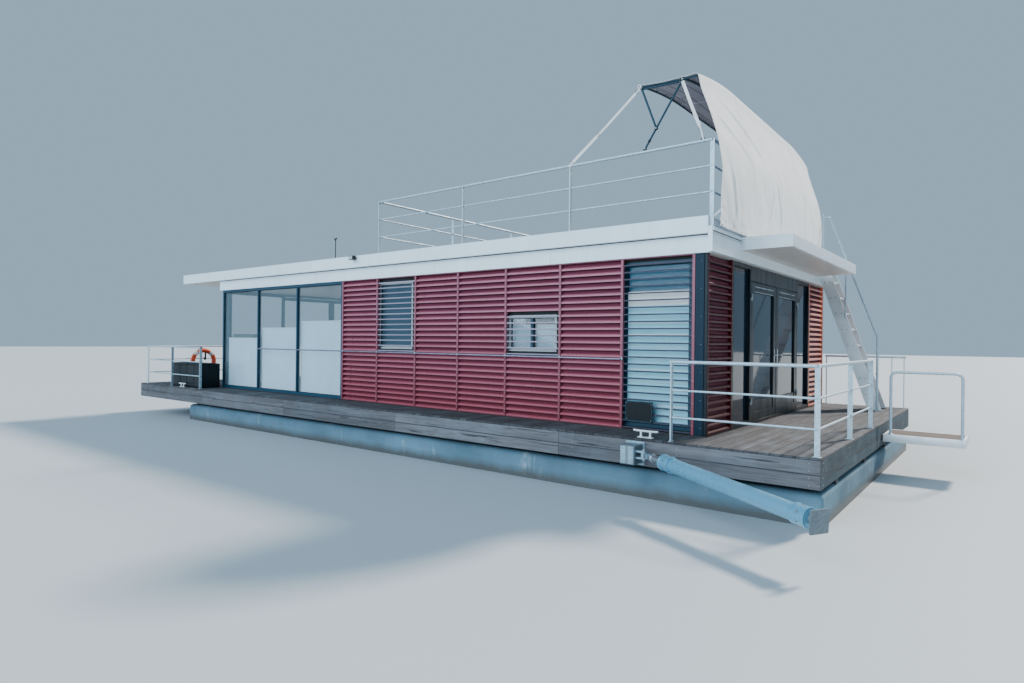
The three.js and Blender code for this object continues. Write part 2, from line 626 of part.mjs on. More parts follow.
function canopyFrame() {
  const parts = [];
  for (const y of [bimini.near, bimini.far]) {
    const p = ([x, z]) => [x, y, z];
    parts.push(rod(p([bimini.mainFoot, bimini.foot + 18]), p(bimini.elbow), bimini.tube, 8));
    parts.push(rod(p(bimini.joint), p(bimini.front), bimini.tube, 8));
    parts.push(rod(p(bimini.front), p(bimini.elbow), bimini.tube, 8));
    parts.push(rod(p(bimini.elbow), p(bimini.rear), bimini.tube, 8));
    parts.push(rod(p(bimini.elbow), p([bimini.strutFoot, bimini.foot + 18]), 10, 8));
    for (const x of [bimini.mainFoot, bimini.strutFoot]) {
      parts.push(box(x - 22, x + 22, y - 16, y + 16, bimini.foot, bimini.foot + 30));
    }
    const [fx, fz] = bimini.front;
    parts.push(box(fx - 20, fx + 20, y - 16, y + 16, fz - 20, fz + 12));
  }
  const nearHalf = evenly(0, bimini.shoulder, 7).map((d) => bimini.near + d);
  const ys = [...nearHalf, ...nearHalf.map((y) => bimini.near + bimini.far - y).reverse()];
  for (const [x, z] of [bimini.front, bimini.elbow, bimini.rear]) {
    parts.push(bentTube(ys.map((y) => [x, y, z + crownAt(y)]), [1, 0, 0], bimini.tube));
  }
  piece('canopy_frame', join(parts), 'tubeDark');
}

function canopyStays() {
  const [fx, fz] = bimini.front;
  const top = fx - 20 - seat;
  const foot = 3682;
  const thick = 10;
  for (const [name, y] of [['canopy_stay_near', bimini.near], ['canopy_stay_far', bimini.far]]) {
    const outline = [[foot - thick, bimini.foot], [foot + thick, bimini.foot], [top, fz - 12], [top, fz + 8]];
    piece(name, pull(outline, 'Y', y - 15, y + 15), 'fabric');
  }
}

// The sheet's line in the XZ plane at the near and far corners of the bows, the share of the bows'
// crown that it gains at each point, and how far it stands off the bows' rounded shoulders
const drape = [
  { x: 4815, z: 6413, crown: 1 }, { x: 4840, z: 6413, crown: 1 }, { x: 5435, z: 6383, crown: 1 },
  { x: 5655, z: 6383, crown: 1 }, { x: 5675, z: 6350, crown: 0.97 }, { x: 5705, z: 6210, crown: 0.85 },
  { x: 5775, z: 6000, crown: 0.6 }, { x: 5870, z: 5700, crown: 0.3 }, { x: 5935, z: 5500, crown: 0.12 },
  { x: 5975, z: 5250, crown: 0.03 }, { x: 5990, z: 4900, crown: 0 }, { x: 5965, z: 4350 + seat, crown: 0 },
];
const shoulderLift = { least: 3, most: 5 };

function clothRise(y) {
  const edge = Math.min(y - bimini.near, bimini.far - y);
  const t = Math.min(Math.max(edge / bimini.shoulder, 0), 1);
  const lift = shoulderLift.least + (shoulderLift.most - shoulderLift.least) * Math.sin(t * Math.PI);
  return crownAt(y) + (t < 1 ? lift : seat);
}

function canopyCloth() {
  const thick = 12;
  const near = bimini.near - 40;
  const far = bimini.far + 18;
  const bend = evenly(0, bimini.shoulder, 7);
  const columns = [near, ...bend.map((d) => bimini.near + d), ...bend.map((d) => bimini.far - d).reverse(), far];
  const outer = [];
  const inner = [];
  drape.forEach(({ x, z, crown }, i) => {
    const before = drape[Math.max(i - 1, 0)];
    const after = drape[Math.min(i + 1, drape.length - 1)];
    const run = new THREE.Vector2(after.x - before.x, after.z - before.z).normalize();
    columns.forEach((y) => {
      const up = crown * clothRise(y);
      inner.push([x, y, z + up]);
      outer.push([x - run.y * thick, y, z + up + (i === drape.length - 1 ? 0 : run.x * thick)]);
    });
  });
  const positions = new Float32Array([...outer, ...inner].flat());
  const n = columns.length;
  const rows = drape.length;
  const at = (layer, i, j) => layer * rows * n + i * n + j;
  const faces = [];
  const quad = (a, b, c, d) => faces.push(a, b, c, a, c, d);
  for (let i = 0; i + 1 < rows; i += 1) {
    for (let j = 0; j + 1 < n; j += 1) {
      quad(at(0, i, j), at(0, i + 1, j), at(0, i + 1, j + 1), at(0, i, j + 1));
      quad(at(1, i, j), at(1, i, j + 1), at(1, i + 1, j + 1), at(1, i + 1, j));
    }
    quad(at(1, i, 0), at(1, i + 1, 0), at(0, i + 1, 0), at(0, i, 0));
    quad(at(0, i, n - 1), at(0, i + 1, n - 1), at(1, i + 1, n - 1), at(1, i, n - 1));
  }
  for (let j = 0; j + 1 < n; j += 1) {
    quad(at(0, 0, j), at(0, 0, j + 1), at(1, 0, j + 1), at(1, 0, j));
    quad(at(0, rows - 1, j + 1), at(0, rows - 1, j), at(1, rows - 1, j), at(1, rows - 1, j + 1));
  }
  const geometry = new THREE.BufferGeometry();
  geometry.setAttribute('position', new THREE.BufferAttribute(positions, 3));
  geometry.setIndex(faces);
  piece('canopy_cloth', solid(geometry), 'fabric');
}

// Mooring arm: a bracket on the deck's edge, a knuckle that swings, a rod that pitches, and a tube
// that slides on the rod and ends in a flange
const arm = {
  origin: [5313, -3790, 1425], yaw: -29.3, dip: 2.93, length: 2690,
  pin: 14, pitchAt: 75, rod: 42, tube: 84, collar: 100, tubeFrom: 420, tubeTo: 2420,
};

function mooringArm() {
  const [ox, oy, oz] = arm.origin;
  const block = box(5015, 5225, -3870, -deck.half - seat, 1290, 1540);
  const lugs = [[1456, 1476], [1374, 1394]].map(([z0, z1]) => join(
    box(5200, ox, oy - 40, oy + 40, z0, z1), rod([ox, oy, z0], [ox, oy, z1], 40, 16)));
  const pin = rod([ox, oy, 1364], [ox, oy, 1486], arm.pin, 16);
  piece('arm_bracket', join(block, lugs, pin), 'steel');

  const swing = new THREE.Group();
  swing.position.set(ox, oy, oz);
  swing.rotation.z = THREE.MathUtils.degToRad(arm.yaw);
  boat.add(swing);
  const half = 31 - seat;
  const knuckle = join(rod([0, 0, -half], [0, 0, half], 36, 16), box(0, arm.pitchAt, -22, 22, -half, half),
    rod([arm.pitchAt, -22, 0], [arm.pitchAt, 22, 0], half, 16));
  piece('arm_knuckle', knuckle.subtract(hole([0, 0, -60], [0, 0, 60], arm.pin))
    .subtract(hole([arm.pitchAt, -60, 0], [arm.pitchAt, 60, 0], 12)), 'steel', swing);

  const pitch = new THREE.Group();
  pitch.position.set(arm.pitchAt, 0, 0);
  pitch.rotation.y = THREE.MathUtils.degToRad(arm.dip);
  swing.add(pitch);
  const from = arm.tubeFrom - arm.pitchAt;
  const to = arm.tubeTo - arm.pitchAt;
  const end = arm.length - arm.pitchAt;
  const cheeks = [-1, 1].map((side) => join(
    box(0, 90, Math.min(side * (22 + seat), side * 40), Math.max(side * (22 + seat), side * 40), -30, 30),
    rod([0, side * (22 + seat), 0], [0, side * 40, 0], 30, 16)));
  piece('arm_rod', join(cheeks, rod([0, -40, 0], [0, 40, 0], 12, 16), box(60, 110, -40, 40, -34, 34),
    rod([100, 0, 0], [1000, 0, 0], arm.rod, 20)), 'steel', pitch);
  const barrel = join(rod([from, 0, 0], [to, 0, 0], arm.tube, 24),
    rod([from, 0, 0], [from + 170, 0, 0], arm.collar, 24),
    rod([to, 0, 0], [to + 170, 0, 0], arm.collar, 24),
    rod([to + 160, 0, 0], [end, 0, 0], arm.rod, 16),
    box(end - 16, end, -110, 110, -110, 110));
  piece('arm_tube', barrel.subtract(hole([from - 10, 0, 0], [1200, 0, 0], arm.rod, 20)), 'steel', pitch);
}

// Gangway: a short hinged platform with a hoop handrail on its near side
const gangway = { axisX: 7350, top: 1450, near: 330, far: 1080, length: 1075, thick: 120 };

function gangwayLugs() {
  const g = gangway;
  const z = g.top - 20;
  return [g.near + 110, g.far - 110].map((y) => join(
    box(deck.boarding - 30, g.axisX, y - 15, y + 15, z - 22, z + 14),
    rod([g.axisX, y - 15, z], [g.axisX, y + 15, z], 14, 16)).subtract(
    hole([g.axisX, y - 20, z], [g.axisX, y + 20, z], 7)));
}

function gangwayPlatform() {
  const g = gangway;
  const z = -20;
  const hoopNear = g.near + 25;
  const x0 = 12;
  const slab = box(x0, g.length, g.near, g.far, -g.thick, 0);
  const lugRoom = [g.near + 110, g.far - 110].map((y) => box(-30, 40, y - 17, y + 17, -60, 10));
  const pins = [g.near + 110, g.far - 110].map((y) => rod([0, y - 40, z], [0, y + 40, z], 7, 16));
  const cheeks = [g.near + 110, g.far - 110].map((y) => join(
    [-1, 1].map((side) => box(-9, 30, Math.min(y + side * 17, y + side * 40),
      Math.max(y + side * 17, y + side * 40), z - 9, z + 9))));
  const posts = [110, g.length - 45].map((x) => rod([x, hoopNear, -60], [x, hoopNear, x > 500 ? 880 : 970], tube.post));
  const hoop = join(rod([110, hoopNear, 970], [g.length - 135, hoopNear, 970], tube.post, 8),
    bentTube([[g.length - 140, hoopNear, 970], [g.length - 95, hoopNear, 957], [g.length - 60, hoopNear, 922],
      [g.length - 45, hoopNear, 875]], [0, 1, 0], tube.post, 8),
    rod([110, hoopNear, 949], [110, hoopNear, 991], tube.post, 10));
  const body = join(lugRoom.reduce((left, cut) => left.subtract(cut), slab), pins, cheeks, posts, hoop);
  piece('gangway', body, 'galvanised').position.set(g.axisX, 0, g.top);
}

// Deck locker with a hinged lid, on the lake terrace
const locker = { x0: -8240, x1: -6745, y0: -3490, y1: -2990, height: 560, lid: 40, wallThick: 25 };
const lidHinge = { y: locker.y1 + 12, z: deck.top + locker.height + 20, barrel: 10, pin: 4, wide: 60 };

// Hinges behind the lid: the locker's barrels with their pins, or the lid's barrels over them
function lidHinges(onLid) {
  const h = lidHinge;
  return [locker.x0 + 250, locker.x1 - 250].map((x) => {
    if (onLid) {
      return join(box(x, x + h.wide, locker.y1 - 10, h.y, h.z - 8, h.z + 8),
        rod([x, h.y, h.z], [x + h.wide, h.y, h.z], h.barrel, 12)).subtract(
        hole([x - 1, h.y, h.z], [x + h.wide + 1, h.y, h.z], h.pin));
    }
    const end = x - seat;
    return join(
      box(x - h.wide, end, locker.y1 - 20, h.y + 8, h.z - 60, h.z - 22),
      box(x - h.wide, end, h.y - 8, h.y + 8, h.z - 60, h.z),
      rod([x - h.wide, h.y, h.z], [end, h.y, h.z], h.barrel, 12),
      rod([x - h.wide + 10, h.y, h.z], [x + h.wide - 5, h.y, h.z], h.pin, 16));
  });
}

function deckLocker() {
  const l = locker;
  const body = box(l.x0 + 15, l.x1 - 15, l.y0 + 15, l.y1 - 15, deck.top + seat, deck.top + l.height);
  const inside = box(l.x0 + 15 + l.wallThick, l.x1 - 15 - l.wallThick, l.y0 + 15 + l.wallThick,
    l.y1 - 15 - l.wallThick, deck.top + l.wallThick, deck.top + l.height + 10);
  piece('locker', join(body.subtract(inside), lidHinges(false)), 'black');
  piece('locker_lid', join(box(l.x0, l.x1, l.y0, l.y1, deck.top + l.height + seat,
    deck.top + l.height + l.lid), lidHinges(true)), 'black');
}

// Lifebuoy hung by a hook on the middle bar of the lake end railing
function lifebuoy() {
  const [ringRadius, tubeWide, tubeDeep] = [300, 68, 50];
  const outline = Array.from({ length: 8 }, (_, i) => {
    const turn = (i / 8) * 2 * Math.PI;
    return new THREE.Vector2(ringRadius + tubeWide * Math.cos(turn), tubeDeep * Math.sin(turn));
  });
  outline.push(outline[0].clone());
  const ring = solid(new THREE.LatheGeometry(outline, 24)).rotate([0, 0, 90]);
  const z = 2180;
  const rail = { x: -9435, z: deck.top + bars[1] };
  const x = rail.x + flat.wide / 2 + tubeDeep + 4;
  const [y0, y1] = [40, 80];
  const hook = join(box(rail.x + tube.bar + seat, x - 20, y0, y1, rail.z - 40, rail.z + 30),
    box(rail.x - 26, rail.x + tube.bar + 20, y0, y1, rail.z + tube.bar + seat, rail.z + 30),
    box(x - 30, x, y0, y1, rail.z - 40, z + ringRadius - 10));
  piece('lifebuoy', join(ring.translate([x, 0, z]), hook), 'orange').position.y = -2130;
}

// Small fittings: a blank name board, a sensor mast and a spotlight
function fittings() {
  piece('name_board', box(4615, 5035, cabin.near - 12, cabin.near + slat.front - seat, 1730, 2010), 'black');
  const mast = join(box(-2435, -2355, -2810, -2730, roof.bed + seat, roof.bed + 20),
    rod([-2395, -2770, roof.bed + 10], [-2395, -2770, 4960], 9, 10),
    box(-2440, -2350, -2782, -2758, 4950, 4990));
  piece('sensor_mast', mast, 'black');
  const lamp = join(box(-1405, -1325, roofSide.near - 20, roofSide.near - seat, 4420, 4490),
    box(-1425, -1305, roofSide.near - 110, roofSide.near - 18, 4410, 4500));
  piece('spotlight', lamp, 'black');
}

pontoon();
deckFrame();
deckBoards();
cleat('cleat_near_boarding', 5205, -3520);
cleat('cleat_near_lake', -7505, -3565);
cleat('cleat_far_boarding', 5205, 3565);
cleat('cleat_far_lake', -7505, 3565);
longWall('wall_near', -1);
longWall('wall_far', 1);
windowUnits();
louvres();
endWalls();
doorScreen();
doorLeaves();
lakeGlazing();
lakeScreen();
lakeLeaves();
roofTiers();
porchAwning();
deckRailings();
roofRailing();
grabRail('grab_rail_near', -1);
grabRail('grab_rail_far', 1);
roofStair();
stairHandrail();
canopyFrame();
canopyStays();
canopyCloth();
mooringArm();
gangwayPlatform();
deckLocker();
lifebuoy();
fittings();

export default boat;
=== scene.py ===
# Houseboat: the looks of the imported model. Metres, +Z up, +X to the boarding end, +Y to the far side.
import math
import random

import bpy
from mathutils import Matrix, Vector, noise


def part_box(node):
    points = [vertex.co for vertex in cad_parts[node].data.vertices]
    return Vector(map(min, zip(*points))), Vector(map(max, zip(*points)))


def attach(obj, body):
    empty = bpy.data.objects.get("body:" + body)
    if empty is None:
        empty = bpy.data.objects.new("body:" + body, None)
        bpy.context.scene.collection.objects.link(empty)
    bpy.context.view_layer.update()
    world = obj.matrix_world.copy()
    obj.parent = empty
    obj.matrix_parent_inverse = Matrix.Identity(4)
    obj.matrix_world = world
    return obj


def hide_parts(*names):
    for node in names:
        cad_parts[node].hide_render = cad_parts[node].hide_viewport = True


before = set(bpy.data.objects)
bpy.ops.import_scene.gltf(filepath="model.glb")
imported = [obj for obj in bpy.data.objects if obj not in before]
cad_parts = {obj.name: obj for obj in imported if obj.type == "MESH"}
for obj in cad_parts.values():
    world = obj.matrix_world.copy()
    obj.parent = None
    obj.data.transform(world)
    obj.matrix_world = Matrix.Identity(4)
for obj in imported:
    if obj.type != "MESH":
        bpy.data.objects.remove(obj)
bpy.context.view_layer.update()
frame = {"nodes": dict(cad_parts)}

bl_info = {
    "name": "Houseboat",
    "version": (1, 0, 0),
    "blender": (4, 5, 0),
    "location": "View3D > Sidebar > Houseboat",
    "description": "Builds the visible pieces of a pontoon houseboat around its packed model",
    "category": "Add Mesh",
}

# Levels and faces that the CAD model shares with these pieces
WATERLINE = 0.80
DECK = 1.600
FLOOR = 1.612
CORE = (1.6123, 4.0297)
CABIN_X = (-6.705, 5.795)
CABIN_Y = (-2.970, 3.490)
ROOF_END, ROOF_TOP, ROOF_BED = 5.835, 4.500, 4.440
LIP_FACE, LIP_TOP = 5.895, 4.360
BOARD_PITCH = 0.1455
EDGE_Y = 3.580
# The two long sides: word, face of the cladding, and the way from it into the cabin
SIDES = (("near", CABIN_Y[0], 1), ("far", CABIN_Y[1], -1))
# The two sides of whatever has a middle
HALVES = (("near", -1), ("far", 1))
X, Y, UP = (1, 0, 0), (0, 1, 0), (0, 0, 1)
ORIGIN = (0, 0, 0)


def tone(code):
    """A colour from its six hexadecimal digits, in Blender's linear scale"""
    parts = [(code >> shift & 255) / 255 for shift in (16, 8, 0)]
    return tuple(p / 12.92 if p <= 0.04045 else ((p + 0.055) / 1.055) ** 2.4 for p in parts)


def evenly(start, end, count):
    return [start + (end - start) * i / (count - 1) for i in range(count)]


def hue(name, description, code):
    return bpy.props.FloatVectorProperty(name=name, description=description, subtype="COLOR", size=3,
                                         min=0, max=1, default=tone(code))


def number(name, description, default, **limits):
    return bpy.props.FloatProperty(name=name, description=description, default=default, **limits)


def length(name, description, default):
    return number(name, description, default, min=0, unit="LENGTH", precision=4)


# Sizes and colours that a user may change

class HouseboatColours(bpy.types.PropertyGroup):
    hull: hue("Hull", "Cast concrete of the pontoon", 0x5C7F91)
    timber: hue("Timber", "Weathered deck boards", 0x716E72)
    louvre: hue("Louvres", "Paint of the louvre slats", 0xA85C6E)
    louvre_deep: hue("Louvre recess", "Shaded backs of the slats", 0x682B3D)
    roof: hue("Roof", "Paint of the roof's edges", 0xE4F0F8)
    frame: hue("Frames", "Paint of the dark window frames", 0x0B3C52)
    pale_frame: hue("Pale frames", "Paint of the two small windows' frames", 0xC9CDD0)
    blind: hue("Blinds", "Pleated blinds", 0xD6EEFA)
    zinc: hue("Zinc", "Galvanised rails and arm", 0xAFC1CB)
    alloy: hue("Alloy", "Aluminium stair and trims", 0xDDE1E4)
    canvas: hue("Canvas", "Canopy cloth", 0xFAF8F6)
    canopy_tube: hue("Canopy tube", "Painted tubes of the canopy", 0x173A4A)
    webbing: hue("Webbing", "Straps of the canopy", 0xEDECEA)
    locker: hue("Locker", "Moulded panels of the locker", 0x0B161D)
    buoy: hue("Lifebuoy", "Shell of the lifebuoy", 0xE2562B)
    tread: hue("Gangway tread", "Ribbed top of the gangway", 0x5B4A40)
    membrane: hue("Membrane", "Roofing sheet", 0x6F7476)
    cabin_floor: hue("Cabin floor", "Planks inside the cabin", 0x9C8262)


class HouseboatDeck(bpy.types.PropertyGroup):
    pitch: length("Board pitch", "Distance between the middles of two deck boards", BOARD_PITCH)
    gap: length("Board gap", "Gap between two deck boards", 0.006)
    ease: length("Board edge", "Width of a board's eased edge", 0.0025)
    edge_length: length("Edge board length", "Longest piece of an edge board", 4.2)
    edge_groove: length("Edge groove", "Gap between the two edge boards", 0.009)


class HouseboatCladding(bpy.types.PropertyGroup):
    nose: length("Nose radius", "Rounding of a slat's folds", 0.0016)
    screw: length("Screw radius", "Radius of a cladding screw's head", 0.006)
    gasket: length("Gasket", "Width of the rubber round a pane", 0.007)
    pleat: length("Pleat", "Height of one pleat of a blind", 0.022)


class HouseboatRails(bpy.types.PropertyGroup):
    top: length("Top bar radius", "Radius of the railings' top bar", 0.021)
    bar: length("Bar radius", "Radius of the lower bars", 0.013)
    flat: length("Post width", "Width of the flat posts", 0.058)
    thick: length("Post thickness", "Thickness of the flat posts", 0.014)
    tail: length("Bar tail", "Length of a bar past its last post", 0.025)


class HouseboatCanopy(bpy.types.PropertyGroup):
    fold: length("Fold depth", "Depth of the cloth's largest folds", 0.020)
    sag: length("Sag", "How far the cloth sinks between two bows", 0.022)
    hem: length("Hem", "Width of the sewn hems", 0.045)
    eyelets: bpy.props.IntProperty(name="Eyelets", description="Eyelets along the lower hem", default=15,
                                   min=2)


class HouseboatStage(bpy.types.PropertyGroup):
    place: bpy.props.FloatVectorProperty(name="Camera", description="Where the camera stands", size=3,
                                         unit="LENGTH", default=(8.983, -11.176, 2.839))
    heading: number("Heading", "Turn of the view from +Y towards -X", math.radians(38.10), unit="ROTATION")
    pitch: number("Pitch", "Tilt of the view upward", math.radians(-0.035), unit="ROTATION")
    roll: number("Roll", "Turn of the camera about its view", math.radians(0.613), unit="ROTATION")
    lens: number("Lens", "Focal length in millimetres for a 36 mm sensor", 22.58, min=1)
    sky: hue("Sky", "Soft light from all round", 0xBFE3FF)
    ground: hue("Floor", "Colour of the studio floor", 0xB6BDC2)
    sky_strength: number("Sky strength", "Strength of the soft light", 0.62, min=0)
    key_strength: number("Key strength", "Strength of the key light", 5.6, min=0)
    fill_strength: number("Fill strength", "Strength of the soft near light", 3.6, min=0)


GROUPS = {
    "houseboat_colours": HouseboatColours,
    "houseboat_deck": HouseboatDeck,
    "houseboat_cladding": HouseboatCladding,
    "houseboat_rails": HouseboatRails,
    "houseboat_canopy": HouseboatCanopy,
    "houseboat_stage": HouseboatStage,
}


# Meshes

def chamfer_faces():
    """Faces of a block with eased edges. Point 3 * corner + axis lies on the side square to axis."""
    def bit(corner, axis):
        return corner >> (2 - axis) & 1

    faces, around = [], ((0, 0), (1, 0), (1, 1), (0, 1))
    for axis in range(3):
        b, c = [k for k in range(3) if k != axis]
        for side in (0, 1):
            ring = [side << (2 - axis) | i << (2 - b) | j << (2 - c) for i, j in around]
            faces.append([3 * corner + axis for corner in ring])
        for i, j in around:
            low = i << (2 - b) | j << (2 - c)
            high = low | 1 << (2 - axis)
            faces.append([3 * low + b, 3 * high + b, 3 * high + c, 3 * low + c])
    faces += [[3 * corner, 3 * corner + 1, 3 * corner + 2] for corner in range(8)]
    points = []
    for corner in range(8):
        for axis in range(3):
            points.append(Vector([(bit(corner, k) - 0.5) * (1 if k == axis else 0.8) for k in range(3)]))
    ordered = []
    for face in faces:
        a, b, c = (points[i] for i in face[:3])
        middle = sum((points[i] for i in face), Vector()) / len(face)
        outward = (b - a).cross(c - b).dot(middle) > 0
        ordered.append(face if outward else face[::-1])
    return ordered


BLOCK = chamfer_faces()


def bend(path, radius, steps=6):
    """The same path with its inner corners rounded"""
    points = [Vector(p) for p in path]
    made = [points[0]]
    for a, p, b in zip(points, points[1:], points[2:]):
        into, out = (p - a).normalized(), (b - p).normalized()
        turn = into.angle(out)
        if turn < 0.02:
            made.append(p)
            continue
        cut = min(radius * math.tan(turn / 2), 0.45 * (p - a).length, 0.45 * (b - p).length)
        start, end = p - into * cut, p + out * cut
        for i in range(steps + 1):
            t = i / steps
            made.append(start * (1 - t) ** 2 + p * 2 * t * (1 - t) + end * t * t)
    return made + [points[-1]]


def rounded(outline, radius, steps=3):
    """A closed outline of (a, b) points with rounded corners"""
    points = [Vector((*p, 0)) for p in outline]
    loop = [(points[-1] + points[0]) / 2] + points + [(points[-1] + points[0]) / 2]
    return [(p.x, p.y) for p in bend(loop, radius, steps)[:-1]]


def plate(a, b, c, d, radius, steps=3):
    """The outline of a rectangle from (a, b) to (c, d) with rounded corners"""
    return rounded([(a, b), (c, b), (c, d), (a, d)], radius, steps)


def circle(count):
    return [2 * math.pi * k / count for k in range(count)]


def square_to(axis):
    """Two directions square to an axis and to each other"""
    across = axis.cross(Vector(UP if abs(axis.z) < 0.9 else X)).normalized()
    return across, axis.cross(across)


class Form:
    """A mesh that grows form by form. Each face keeps the finish and tint that were set before it."""

    def __init__(self, finish=None, tint=0.5, place=None):
        self.points, self.faces, self.marks, self.tints = [], [], [], []
        self.finishes = []
        self.mark, self.tint = 0, 0.5
        self.place = place or Matrix.Identity(4)
        if finish:
            self.use(finish, tint)

    def use(self, name, tint=0.5):
        if name not in self.finishes:
            self.finishes.append(name)
        self.mark, self.tint = self.finishes.index(name), tint
        return self

    def add(self, points, faces):
        start = len(self.points)
        flip = self.place.to_3x3().determinant() < 0
        self.points += [self.place @ Vector(p) for p in points]
        for face in faces:
            order = [start + i for i in face]
            self.faces.append(order[::-1] if flip else order)
        self.marks += [self.mark] * len(faces)
        self.tints += [self.tint] * len(faces)
        return self

    def block(self, lo, hi, edge=0.002):
        sides = [(min(a, b), max(a, b)) for a, b in zip(lo, hi)]
        edge = min([edge] + [(b - a) * 0.45 for a, b in sides])
        points = []
        for corner in range(8):
            ends = [sides[k][corner >> (2 - k) & 1] for k in range(3)]
            ways = [1 if corner >> (2 - k) & 1 else -1 for k in range(3)]
            for axis in range(3):
                points.append([ends[k] - (0 if k == axis else ways[k] * edge) for k in range(3)])
        return self.add(points, BLOCK)

    def rings(self, rings, closed=False, caps=True):
        """A skin over rings of points, each with the same number of points"""
        n, faces = len(rings[0]), []
        last = len(rings) if closed else len(rings) - 1
        for i in range(last):
            a, b = i * n, (i + 1) % len(rings) * n
            faces += [[a + k, a + (k + 1) % n, b + (k + 1) % n, b + k] for k in range(n)]
        if caps and not closed:
            faces.append(list(range(n))[::-1])
            faces.append([(len(rings) - 1) * n + k for k in range(n)])
        return self.add([p for ring in rings for p in ring], faces)

    def pipe(self, path, radius, sides=14, ease=0.0015):
        """A round bar along a path, with eased ends"""
        path = [Vector(p) for p in path]
        first, last = (path[1] - path[0]).normalized(), (path[-2] - path[-1]).normalized()
        ease = min(ease, radius * 0.3)
        path = [path[0], path[0] + first * ease] + path[1:-1] + [path[-1] + last * ease, path[-1]]
        count = len(path)
        sizes = [radius - ease] + [radius] * (count - 2) + [radius - ease]
        rings, across, before = [], None, None
        for i, p in enumerate(path):
            along = Vector()
            if i + 1 < count:
                along += (path[i + 1] - p).normalized()
            if i > 0:
                along += (p - path[i - 1]).normalized()
            along.normalize()
            across = before.rotation_difference(along) @ across if before else square_to(along)[0]
            before = along
            up = along.cross(across)
            rings.append([p + across * sizes[i] * math.cos(t) + up * sizes[i] * math.sin(t)
                          for t in circle(sides)])
        return self.rings(rings)

    def turned(self, outline, base, axis=UP, sides=24, closed=False):
        """A form turned from (radius, height) points about an axis through base"""
        axis = Vector(axis).normalized()
        u, v = square_to(axis)
        rings = [[Vector(base) + axis * h + (u * math.cos(t) + v * math.sin(t)) * r for t in circle(sides)]
                 for r, h in outline]
        return self.rings(rings, closed)

    def prism(self, outline, axis, start, end):
        """An outline pulled along X, Y or Z; its own plane is YZ, XZ or XY"""
        area = sum(a[0] * b[1] - b[0] * a[1] for a, b in zip(outline, outline[1:] + outline[:1]))
        if (area > 0) == (axis == "Y"):
            outline = outline[::-1]
        at = "XYZ".index(axis)
        return self.rings([[(*pair[:at], level, *pair[at:]) for pair in outline]
                           for level in sorted((start, end))])

    def fasten(self, places, head):
        """Steel heads at some places; the finish in use stays"""
        held = self.mark, self.tint
        self.use("fastener_steel")
        for at in places:
            head(at)
        self.mark, self.tint = held

    def bolts(self, places, axis, radius):
        """Hexagon heads on washers"""
        def head(at):
            self.turned([(radius * 1.7, 0), (radius * 1.7, radius * 0.2)], at, axis, 14)
            top = Vector(at) + Vector(axis).normalized() * radius * 0.2
            self.turned([(radius, 0), (radius, radius * 0.55), (radius * 0.85, radius * 0.7)], top, axis, 6)

        self.fasten(places, head)

    def screws(self, places, axis, radius):
        """Domed heads"""
        domed = [(radius, 0), (radius * 0.9, radius * 0.35), (radius * 0.45, radius * 0.5)]
        self.fasten(places, lambda at: self.turned(domed, at, axis, 8))

    def build(self, name, body, slot, replaces=(), angle=38):
        """The finished piece, riding on its body"""
        mesh = bpy.data.meshes.new(name)
        mesh.from_pydata(self.points, [], self.faces)
        for finish in self.finishes:
            mesh.materials.append(material(finish))
        mesh.polygons.foreach_set("material_index", self.marks)
        mesh.polygons.foreach_set("use_smooth", [True] * len(self.faces))
        tints = mesh.attributes.new("tint", "FLOAT", "FACE")
        tints.data.foreach_set("value", self.tints)
        mesh.update()
        mesh.set_sharp_from_angle(angle=math.radians(angle))
        made = bpy.data.objects.new(name, mesh)
        bpy.context.scene.collection.objects.link(made)
        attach(made, body)
        if replaces:
            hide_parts(*replaces)
        return made


def shift(x, y, z):
    return Matrix.Translation((x, y, z))


def turn(degrees, axis="Z"):
    return Matrix.Rotation(math.radians(degrees), 4, axis)


def facing(x, y, z, way):
    """A place on a long side, with Y into the cabin; the far side's is mirrored"""
    return shift(x, y, z) @ Matrix.Diagonal((1, way, 1, 1))


# Finishes

